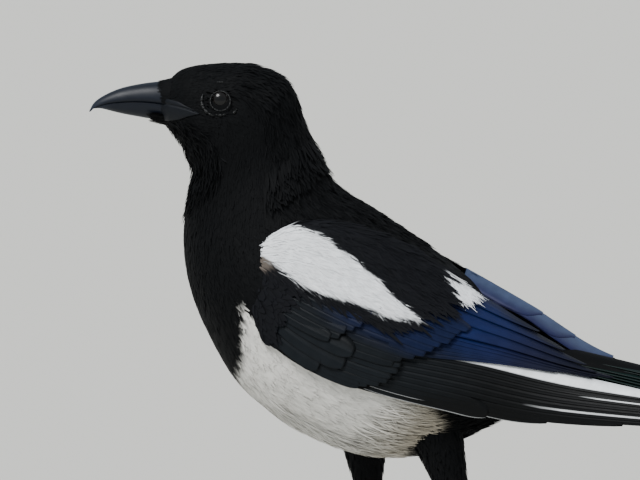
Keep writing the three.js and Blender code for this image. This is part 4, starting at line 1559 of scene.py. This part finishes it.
@dataclass
class Bill:
    """The two halves of the bill, which meet along the mouth line."""

    half_width: float = 6.4
    tip_half: float = 0.35
    narrowing: float = 0.8  # the width falls by this power of the share that is left
    side_power: float = 0.85  # below 1 the sides are full and the ridge is narrow
    lower_width: float = 0.9  # the lower half's width, as a share of the upper one's
    rows: int = 60
    columns: int = 36
    mouth: SmoothLine = SmoothLine((
        (-84, 0, 205.4), (-94, 0, 207.0), (-101, 0, 207.5), (-108.4, 0, 207.2),
        (-114.5, 0, 206.3), (-118.6, 0, 204.7), (-120.6, 0, 202.9)))
    culmen: SmoothLine = SmoothLine((
        (-84, 0, 215.5), (-94, 0, 214.6), (-101, 0, 213.7), (-108.4, 0, 212.1),
        (-114.5, 0, 209.6), (-118.9, 0, 206.6), (-121.1, 0, 203.0)))
    chin: SmoothLine = SmoothLine((
        (-84, 0, 196.6), (-94, 0, 199.6), (-101, 0, 200.9), (-108.4, 0, 202.3),
        (-114, 0, 203.7), (-117.2, 0, 204.5)))

    def width(self, t: Array) -> Array:
        """Half the bill's width at shares along it."""
        return self.half_width * (1 - t) ** self.narrowing + self.tip_half

    def half(self, arch: SmoothLine, reach: float, lift: float) -> Patch:
        """One half: an arch over the mouth line that narrows to the tip.

        Across, the section is the mouth line plus the rise to the arch times the sine to a
        power below one, so that the sides are full and the ridge is narrow.

        Args:
            arch: the ridge above, or the chin line below.
            reach: how far it goes along the mouth line.
            lift: height of its edge over the mouth line, negative for the lower half.

        Returns:
            The half as a patch.
        """
        t, turn = round_grid(self.rows, self.columns)
        t = 1 - (1 - t) ** 1.3
        angle = 2 * np.pi * turn
        edge = self.mouth.at(t * reach)
        rise = arch.at(t) - edge
        size = np.linalg.norm(rise, axis=-1, keepdims=True)
        rise = rise * np.maximum(1, 0.5 / size)
        half = self.width(t * reach) * (1.0 if lift > 0 else self.lower_width)
        bow = np.clip(np.sin(angle), 0, None) ** self.side_power
        points = edge + rise * bow[..., None]
        y = half * np.cos(angle) * (1 - 0.12 * bow)
        points = points + np.stack([0 * y, y, 0 * y + lift * np.ones_like(y)], -1)
        # paler towards the tip, and a painted highlight along each half's ridge
        wear_and_sheen = np.clip(ramp(t, 0.6, 1.0) * 0.7 + 0.25 * ramp(bow, 0.9, 1), 0, 1)
        tint = np.repeat((wear_and_sheen + 0 * y)[..., None], 3, -1)
        return tube(turned(points, 1.0), tint, flip=lift > 0)

    def side_point(self, t: Array, angle: Array, lift: Array, under: bool = False) -> Array:
        """A point at a height over the side of a half, before the head's turn.

        Args:
            t: shares along the bill.
            angle: angles round the half, from the left rim to the right one.
            lift: heights over the side.
            under: whether it is the lower half.

        Returns:
            The points.
        """
        arch, sign = (self.chin, -1.0) if under else (self.culmen, 1.0)
        edge = self.mouth.at(t)
        half = self.width(t)
        bow = np.clip(np.sin(angle), 0, None) ** self.side_power
        out = np.stack([0 * angle, np.cos(angle), sign * np.sin(angle)], -1)
        point = edge + (arch.at(t) - edge) * bow[..., None]
        point[..., 1] += half * np.cos(angle) * (1 - 0.12 * bow)
        return point + out * lift[..., None]

    def chin_tuft(self, rng: Generator) -> Patch:
        """Chin feathers that run forward under the lower half and hang a little at their tips.

        Args:
            rng: the seeded random source.

        Returns:
            The tuft as a patch.
        """
        count, rows = 420, 6
        angle = rng.uniform(0.16, 0.84, count)[:, None, None] * np.pi
        tip = 0.12 + 0.2 * rng.random(count)[:, None, None] ** 1.3
        a = np.linspace(0, 1, rows)[None, :, None]
        b = np.array([-1.0, 1.0])[None, None, :]
        t = mix(tip - 0.2, tip, a) + 0 * b
        lift = mix(0.5, 0.3 + 1.3 * rng.random(count)[:, None, None], a**1.5) + 0 * b
        turn = angle + 0.09 * (1 - 0.85 * a**2) * b
        points = turned(self.side_point(t, turn, lift, under=True), 1.0)
        tint = mix(BLACK, SOOT, 0.7 * (a + 0 * t)[..., None])
        roots = np.stack([0.08 + 0.02 * rng.random(count), angle[:, 0, 0] / (2 * np.pi)], -1)
        return sheets(points, tint, roots, 0.4 * b + 0 * t, 7 * a + 0 * t)

    def bristles(self, rng: Generator) -> Patch:
        """Nasal bristles: flat hairs that run forward from the forehead over the bill's base.

        Each follows the bill's side from inside the face to its tip. The tuft is a wedge,
        longest halfway up the side, where it covers the nostril.

        Args:
            rng: the seeded random source.

        Returns:
            The bristles as a patch.
        """
        count, rows, columns = 1500, 7, 2
        angle = rng.uniform(0.02, 0.98, count) * np.pi
        up = np.sin(angle)
        longest = 0.17 - 0.04 * np.abs(up - 0.8)
        tip = 0.06 + (longest - 0.06) * rng.uniform(0.1, 1.0, count) ** 1.1 * (
            1 + 0.25 * rng.random(count))
        start = tip - rng.uniform(0.14, 0.2, count)
        a = np.linspace(0, 1, rows)[None, :, None]
        b = np.linspace(-1, 1, columns)[None, None, :]
        t = mix(start[:, None, None], tip[:, None, None], a) + 0 * b
        sway = 0.12 * rng.standard_normal(count)[:, None, None] * a
        wide = 0.055 * (1 - 0.8 * a**2)
        turn = angle[:, None, None] + sway + wide * b
        lift = mix(1.0, 0.2, ramp(t, 0.04, 0.16)) + 0.25 * rng.random(count)[:, None, None]
        points = turned(self.side_point(t, turn, lift), 1.0)
        tint = mix(BLACK, SOOT, 0.7 * (a + 0 * t)[..., None])
        roots = np.stack([0.05 + 0.02 * rng.random(count), angle / (2 * np.pi)], -1)
        return sheets(points[:, :, ::-1], tint, roots, 0.3 * b + 0 * t, 9 * a + 0 * t)

    @staticmethod
    def gape_lines(x: Array) -> tuple[Array, Array, Array]:
        """The heights of the gape's lower edge, upper edge and mouth line, before the turn.

        Args:
            x: places along the head.

        Returns:
            The three heights at each place.
        """
        knots, low, high, mouth = np.transpose((
            (-94.5, 199.6, 208.7, 207.1), (-90.5, 200.2, 208.7, 206.7),
            (-86.8, 201.0, 208.2, 206.3), (-83.0, 202.7, 206.4, 205.6),
            (-78.4, 203.9, 204.4, 204.2)))
        return tuple(np.interp(x, knots, line) for line in (low, high, mouth))

    def gape(self, side: Side) -> Patch:
        """The bare base of both halves, a wedge on the face that ends at the mouth's corner.

        It stands a little over the face, with the mouth line as a groove, and shrinks to
        nothing at the corner.

        Args:
            side: the side of the head.

        Returns:
            The wedge as a patch.
        """
        rows, columns = 48, 33
        s = np.linspace(0, 1, rows)[:, None]
        w = np.linspace(-1, 1, columns)[None, :]
        x = mix(-94.5, -78.4, s) + 0 * w
        low, high, mouth = self.gape_lines(x)
        z = mix(low, high, (w + 1) / 2)
        form = BodyForm()
        p, q = form.find(x, z, side)
        bulge = 0.45 * np.sqrt(np.clip(1 - w**2, 0, 1))
        groove = 0.5 * np.exp(-((z - mouth) / 0.3) ** 2)
        rise = mix(-0.6, bulge - groove, ramp(s, 0, 0.3))
        normal = form.normal(p, q)
        top = form.at(p, q) + normal * rise[..., None]
        bottom = form.at(p, q) - normal * 1.3
        tint = np.zeros(top.shape) + 0.15
        return shell(top, bottom, tint, (0, 0, 1, 1), z - mouth, 16 * s + 0 * w,
                     side is Side.LEFT)

    def build(self, horn: Material, gape: Material,
              soft: Material) -> None:
        """Makes both halves, the gapes and the bristles over the base.

        Args:
            horn: the bill's material.
            gape: the bare base's material.
            soft: the feathers' material.
        """
        for side in Side:
            make_piece(f"gape_{side.name.lower()}", self.gape(side), gape, baked=False)
        rng = np.random.default_rng(31)
        make_piece("nasal_bristles", self.bristles(rng), soft)
        make_piece("chin_tuft", self.chin_tuft(rng), soft)
        make_piece("bill_top", self.half(self.culmen, 1.0, 0.06), horn,
                   ("bill_upper",), False)
        make_piece("bill_bottom", self.half(self.chin, 0.86, -0.06), horn,
                   ("bill_lower",), False)


@dataclass
class Eye:
    """One eyeball between its lids, with the folds of bare skin round them."""

    side: Side
    radius: float = 4.4
    face_out: float = 3.4  # mm from the eyeball's middle to the point that feathers avoid
    centre = (-70.6, 10.7, 208.8)  # x, distance from the middle plane and z

    def middle(self) -> Array:
        """A point just inside the middle of the eyeball's outer face."""
        x, y, z = self.centre
        return turned(np.array([x, self.side.value * (y + self.face_out), z]), 1.0)

    def ball(self) -> Patch:
        """The eyeball: rings about the outward axis, with the pupil and the iris tinted.

        Returns:
            The ball as a patch.
        """
        share, turn = round_grid(40, 48)
        rings = mix(0.02, np.pi - 0.02, share)
        angle = 2 * np.pi * turn
        out = self.side.value * np.cos(rings) * self.radius
        x = np.sin(rings) * np.cos(angle) * self.radius
        z = np.sin(rings) * np.sin(angle) * self.radius
        centre = np.array([self.centre[0], self.side.value * self.centre[1], self.centre[2]])
        points = centre + np.stack([x, out + 0 * x, z], -1)
        far = (rings + 0 * x)[..., None]
        iris = mix(hex_linear("030303"), hex_linear("0b0807"), ramp(far, 0.4, 0.48))
        tint = mix(iris, hex_linear("080706"), ramp(far, 0.85, 1.0))
        return tube(turned(points, 1.0), tint, flip=self.side is Side.LEFT)

    def fold(self, round_x: float, round_z: float, thick: float, lift: float,
             span: tuple[float, float] = (0.0, 1.0), folds: float = 0.18) -> Patch:
        """A wrinkled cord of skin round the eye, resting on the head.

        Its middle line is an oval on the head's surface, its section a circle whose radius
        swells and shrinks in small folds and fades to nothing at the ends of a part oval.

        Args:
            round_x: half length of the oval, in mm.
            round_z: half height of the oval.
            thick: radius of the cord.
            lift: height of its middle over the head's surface.
            span: part of the turn that it covers, from the front end over the top.
            folds: depth of the wrinkles, as a share of the radius.

        Returns:
            The cord as a patch.
        """
        whole = span == (0.0, 1.0)
        rows, columns = 140, 14
        turn = np.linspace(*span, rows, endpoint=not whole)
        around = 2 * np.pi * turn
        x = self.centre[0] - round_x * np.cos(around)
        z = self.centre[2] + round_z * np.sin(around)
        form = BodyForm()
        p, q = form.find(x, z, self.side)
        line, normal = form.at(p, q), form.normal(p, q)
        outward = unit(line - self.middle())
        outward = unit(outward - normal * np.sum(outward * normal, -1, keepdims=True))
        share = np.linspace(0, 1, rows)
        fade = 1.0 if whole else np.sqrt(np.clip(np.sin(np.pi * share), 0.02, 1))
        size = thick * fade * (1 + folds * np.sin(around * 19) * np.cos(around * 4.0)
                               + 0.5 * folds * np.sin(around * 37))
        section = 2 * np.pi * np.arange(columns) / columns
        points = (line + normal * lift)[:, None] + size[:, None, None] * (
            outward[:, None] * np.cos(section)[None, :, None]
            + normal[:, None] * np.sin(section)[None, :, None] * 0.8)
        tint = np.full(points.shape, 0.0)
        flip = self.side is Side.RIGHT
        return ring_tube(points, tint, flip) if whole else tube(points, tint, flip=flip)

    def lids(self) -> Patch:
        """The lids' rim, and the folds before, under, behind and over the eye.

        Returns:
            The five cords as one patch.
        """
        return Patch.join([
            self.fold(3.8, 3.55, 0.26, 0.3, folds=0.5),
            self.fold(7.0, 5.8, 0.6, 0.6, (0.8, 1.07), 0.35),
            self.fold(5.6, 5.2, 0.4, 0.45, (0.69, 0.8), 0.5),
            self.fold(7.0, 6.3, 0.5, 0.2, (0.57, 0.63), 0.6),
            self.fold(7.0, 6.8, 0.45, 0.15, (0.22, 0.28), 0.6)])

    def build(self, wet: Material, skin: Material) -> None:
        """Makes the eyeball and its lids.

        Args:
            wet: the eyeball's material.
            skin: the lids' material.
        """
        word = self.side.name.lower()
        make_piece(f"eyeball_{word}", self.ball(), wet, (f"eye_{word}",), False)
        make_piece(f"lids_{word}", self.lids(), skin, baked=False)


def ring_tube(points: Array, tint: Array, flip: bool) -> Patch:
    """A ring: a grid that wraps both ways.

    Args:
        points: places round the ring by places round its section.
        tint: colours of the same shape.
        flip: whether the faces are turned round.

    Returns:
        The ring as a patch.
    """
    rows, columns, _ = points.shape
    faces, corners = grid_faces(rows, columns, True, True)
    bake = corners / [rows, columns]
    if flip:
        faces, bake = turn_round(faces), turn_round(bake)
    return Patch(points.reshape(-1, 3), faces, tint.reshape(-1, 3), bake, bake * 10)


@dataclass(frozen=True)
class Toe:
    """One toe: sizes in millimetres and its angle from straight ahead."""

    name: str
    length: float
    turn: float
    half: float
    claw: float


TOES = (Toe("inner", 21, -0.5, 2.1, 7.5), Toe("middle", 29, 0.03, 2.3, 8),
        Toe("outer", 22, 0.5, 2.1, 7.5), Toe("hind", 16, math.pi - 0.05, 2.4, 10.5))


@dataclass
class Leg:
    """One leg: feathered thigh, scaled shank, toes and claws."""

    side: Side
    hip: tuple[float, float, float]
    heel: tuple[float, float, float]
    foot: tuple[float, float, float]
    thigh_top: float = 12.5
    thigh_end: float = 3.6
    shank_half: float = 1.9
    sole_sunk: float = 0.85  # height of a toe's middle line, as a share of its half height
    gap: float = 0.3  # mm between a toe's end and its claw's reach
    feather_gap: float = 1.6  # mm between the roots of the thigh's feathers
    shank_plates: float = 9.0
    plate_height: float = 0.16
    toe_plate: float = 1.9  # length of a plate on the toes
    toe_plate_height: float = 0.14

    def thigh(self) -> LimbForm:
        """The outline of the feathered thigh, which narrows to the heel.

        Returns:
            The form, with its radius by the share along.
        """
        middle = tuple((a + b) / 2 for a, b in zip(self.hip, self.heel))
        return LimbForm(SmoothLine((self.hip, middle, self.heel)), lambda t: mix(
            self.thigh_top, self.thigh_end, np.clip(np.minimum(1, t * 1.06), 0, 1) ** 0.9), 0.8)

    def shank(self) -> Patch:
        """The shank: plates overlap down its front, like the slats of a blind.

        Each plate's height is the square of the share down it, so it ends in a small step.

        Returns:
            The shank as a patch.
        """
        p, q = round_grid(160, 28)
        middle = tuple((a + b) / 2 for a, b in zip(self.heel, self.foot))
        knuckle = 0.8 * np.exp(-(p / 0.07) ** 2) + 0.5 * np.exp(-((p - 1) / 0.08) ** 2)
        front = np.clip(-np.sin(2 * np.pi * q), 0, 1) ** 0.5
        plates = (self.plate_height * ((p * self.shank_plates) % 1.0) ** 2 * front
                  * ramp(p, 0.04, 0.1))
        size = self.shank_half + knuckle + plates
        form = LimbForm(SmoothLine((self.heel, middle, self.foot)), lambda t: size)
        return tube(form.at(p, q), np.zeros(3), flip=True)

    def along(self, toe: Toe, reach: float, up: float) -> tuple[float, float, float]:
        """A place over a toe's line on the floor.

        Args:
            toe: the toe.
            reach: mm from the foot's middle.
            up: mm over the floor.

        Returns:
            Its x, y and z.
        """
        way = -self.side.value * toe.turn
        return (self.foot[0] - math.cos(way) * reach, self.foot[1] + math.sin(way) * reach, up)

    def toe(self, toe: Toe) -> Patch:
        """A toe on the floor: thick at its joints, with plates on top and a flat sole.

        Args:
            toe: its sizes.

        Returns:
            The toe as a patch.
        """
        def half_at(t: Array) -> Array:
            """Half the toe's height at shares along it."""
            return toe.half * (1 - 0.25 * t) * (1 + 0.1 * np.cos(t * 4.5 * np.pi))

        points = [self.along(toe, toe.length * t, self.foot[2] if t == 0
                             else self.sole_sunk * float(half_at(np.array(t))))
                  for t in (0, 0.25, 0.5, 0.75, 1)]
        p, q = round_grid(90, 24)
        plates = self.toe_plate_height * ((p * toe.length / self.toe_plate) % 1.0) ** 2
        form = LimbForm(SmoothLine(tuple(points)), lambda t: half_at(p) + 0 * q)
        grid = form.at(p, q)
        out = grid - form.line.at(p)
        upward = np.clip(unit(out)[..., 2:3], 0, 1) ** 0.6
        grid = grid + unit(out) * plates[..., None] * upward
        grid[..., 2] = np.maximum(grid[..., 2], 0.0)
        return tube(grid, np.zeros(3), flip=True)

    def claw(self, toe: Toe) -> Patch:
        """A claw that arches from the end of its toe down to the floor.

        Args:
            toe: its toe's sizes.

        Returns:
            The claw as a patch, a tube that narrows evenly to its tip.
        """
        start = toe.length - 0.6
        line = SmoothLine((self.along(toe, start, toe.half * 0.85),
                           self.along(toe, start + toe.claw * 0.5, toe.half * 0.98),
                           self.along(toe, toe.length + self.gap + toe.claw, 0.5)))
        p, q = round_grid(40, 16)
        form = LimbForm(line, lambda t: toe.half * 0.62 * (1 - 0.9 * p) + 0 * q, 0.75)
        grid = form.at(p, q)
        grid[..., 2] = np.maximum(grid[..., 2], 0.0)
        return tube(grid, np.repeat((p + 0 * q)[..., None], 3, -1), flip=True)

    @staticmethod
    def dark(p: Array, q: Array, a: Array) -> Array:
        """The black of the thigh, a little greyer at the feathers' tips."""
        return mix(BLACK, SOOT, (0.6 * a)[..., None]) + 0 * (p + q)[..., None]

    def build(self, scales: Material, horn: Material,
              soft: Material, rng: Generator) -> None:
        """Makes the leg's pieces.

        Args:
            scales: the material of shank and toes.
            horn: the claws' material.
            soft: the thigh feathers' material.
            rng: the seeded random source.
        """
        word = self.side.name.lower()
        form = self.thigh()
        p, q = round_grid(40, 40)
        make_piece(f"thigh_skin_{word}", tube(form.at(p, q), BLACK, flip=True), soft,
                   (f"thigh_{word}",))
        root_p, root_q = scatter(form, (0.0, 0.98), (0.0, 1.0), self.feather_gap, rng)
        patch = lay(form, root_p, root_q, Plume(9, 2.2, 0.8), rng, self.dark, Coat.unwrap)
        make_piece(f"thigh_feathers_{word}", patch, soft)
        make_piece(f"shank_scales_{word}", self.shank(), scales,
                   (f"shank_{word}",), False)
        make_piece(f"toes_{word}", Patch.join([self.toe(t) for t in TOES]), scales,
                   (f"foot_{word}",), False)
        make_piece(f"claws_{word}", Patch.join([self.claw(t) for t in TOES]), horn,
                   tuple(f"claw_{word}_{t.name}" for t in TOES), False)


# The studio


@dataclass
class Studio:
    """Floor, lights and camera."""

    azimuth: float = math.radians(15)
    elevation: float = math.radians(8)
    distance: float = 3.0
    field: float = 0.24615  # metres across the picture at the bird
    aim_right: float = -30.8  # mm from the bird's own origin to the picture's middle
    aim_up: float = 153.8
    sensor: float = 36  # mm
    floor_half: float = 20  # metres
    sky: tuple[float, ...] = (0.86, 0.93, 1.0, 1)
    sky_strength: float = 0.66
    # name, strength, angle of its disc and the three turns, in degrees
    suns: tuple[tuple[str, float, float, tuple[float, float, float]], ...] = (
        ("key", 3.5, 25, (38, 0, -25)), ("fill", 0.7, 60, (55, 0, 120)))

    def build(self) -> None:
        """Makes the floor, the lights and the camera."""
        r = self.floor_half
        points = np.array([[-r, -r, 0], [r, -r, 0], [r, r, 0], [-r, r, 0]], float)
        mesh = bpy.data.meshes.new("floor")
        mesh.from_pydata(points.tolist(), [], [(0, 1, 2, 3)])
        mesh.materials.append(StudioFloor().build())
        floor = bpy.data.objects.new("floor", mesh)
        bpy.context.scene.collection.objects.link(floor)

        world = bpy.data.worlds.new("studio")
        bpy.context.scene.world = world
        world.use_nodes = True
        background = world.node_tree.nodes["Background"]
        background.inputs["Color"].default_value = self.sky
        background.inputs["Strength"].default_value = self.sky_strength
        for name, energy, angle, turns in self.suns:
            light = bpy.data.lights.new(name, "SUN")
            light.energy = energy
            light.angle = math.radians(angle)
            lamp = bpy.data.objects.new(name, light)
            lamp.rotation_euler = [math.radians(turn) for turn in turns]
            bpy.context.scene.collection.objects.link(lamp)

        a, e = self.azimuth, self.elevation
        right = np.array([math.cos(a), math.sin(a), 0])
        up = np.array([-math.sin(a) * math.sin(e), math.cos(a) * math.sin(e), math.cos(e)])
        back = np.array([math.sin(a) * math.cos(e), -math.cos(a) * math.cos(e), math.sin(e)])
        aim = (right * self.aim_right + up * self.aim_up) * MM + SHIFT
        camera = bpy.data.cameras.new("camera")
        camera.sensor_width = self.sensor
        camera.lens = self.sensor * self.distance / self.field
        camera.clip_end = 100
        holder = bpy.data.objects.new("camera", camera)
        holder.location = aim + back * self.distance
        holder.rotation_euler = (math.pi / 2 - e, 0, a)
        bpy.context.scene.collection.objects.link(holder)
        bpy.context.scene.camera = holder


SHIFT = bird_shift()
LEGS = (Leg(Side.LEFT, (14, -15, 96), (28.5, -15, 50.5), (15, -16, 4.6)),
        Leg(Side.RIGHT, (-20.5, 15, 92), (-15.5, 15, 49.5), (-27, 16, 4.6)))


def main() -> None:
    """Builds the magpie and its studio."""
    logging.basicConfig(level=logging.INFO, format="%(message)s")
    # small feathers are matt, and their barbs hardly show
    soft = Plumage("black_and_white_plumage", 0.7, 0.08, 0.08, 0.07).build()
    # the large vanes are sleek, with a thin metallic gloss
    gloss = Plumage("glossed_vanes", 0.42, 0.12, 0.12, 0.12, metallic=0.1).build()
    # the bill is slate black with a soft broad highlight, and its bare base is duller
    bill_horn = Horn("bill_horn", "10151f", "222936", 0.4, specular=0.2).build()
    bare_gape = Horn("bare_gape", "0a0d12", "151920", 0.5, specular=0.14).build()
    # the claws shine a little, and the legs are matt and finely scaled
    claw_horn = Horn("claw_horn", "141416", "2c2c2e", 0.32).build()
    scaled_skin = Horn("scaled_skin", "121315", "1d1e20", 0.45, 1.11, 0.5, 1.11).build()
    # the lids are nearly black and finely wrinkled
    lid_skin = Horn("lid_skin", "08090a", "101214", 0.4, 0.556, 0.9, specular=0.25).build()
    Coat().build(soft)
    for side in Side:
        Wing(side).build(gloss, soft)
    Tail().build(gloss, soft)
    Bill().build(bill_horn, bare_gape, soft)
    for side in Side:
        Eye(side).build(WetEye().build(), lid_skin)
    rng = np.random.default_rng(23)
    for leg in LEGS:
        leg.build(scaled_skin, claw_horn, soft, rng)
    Studio().build()


if __name__ == "__main__":
    main()
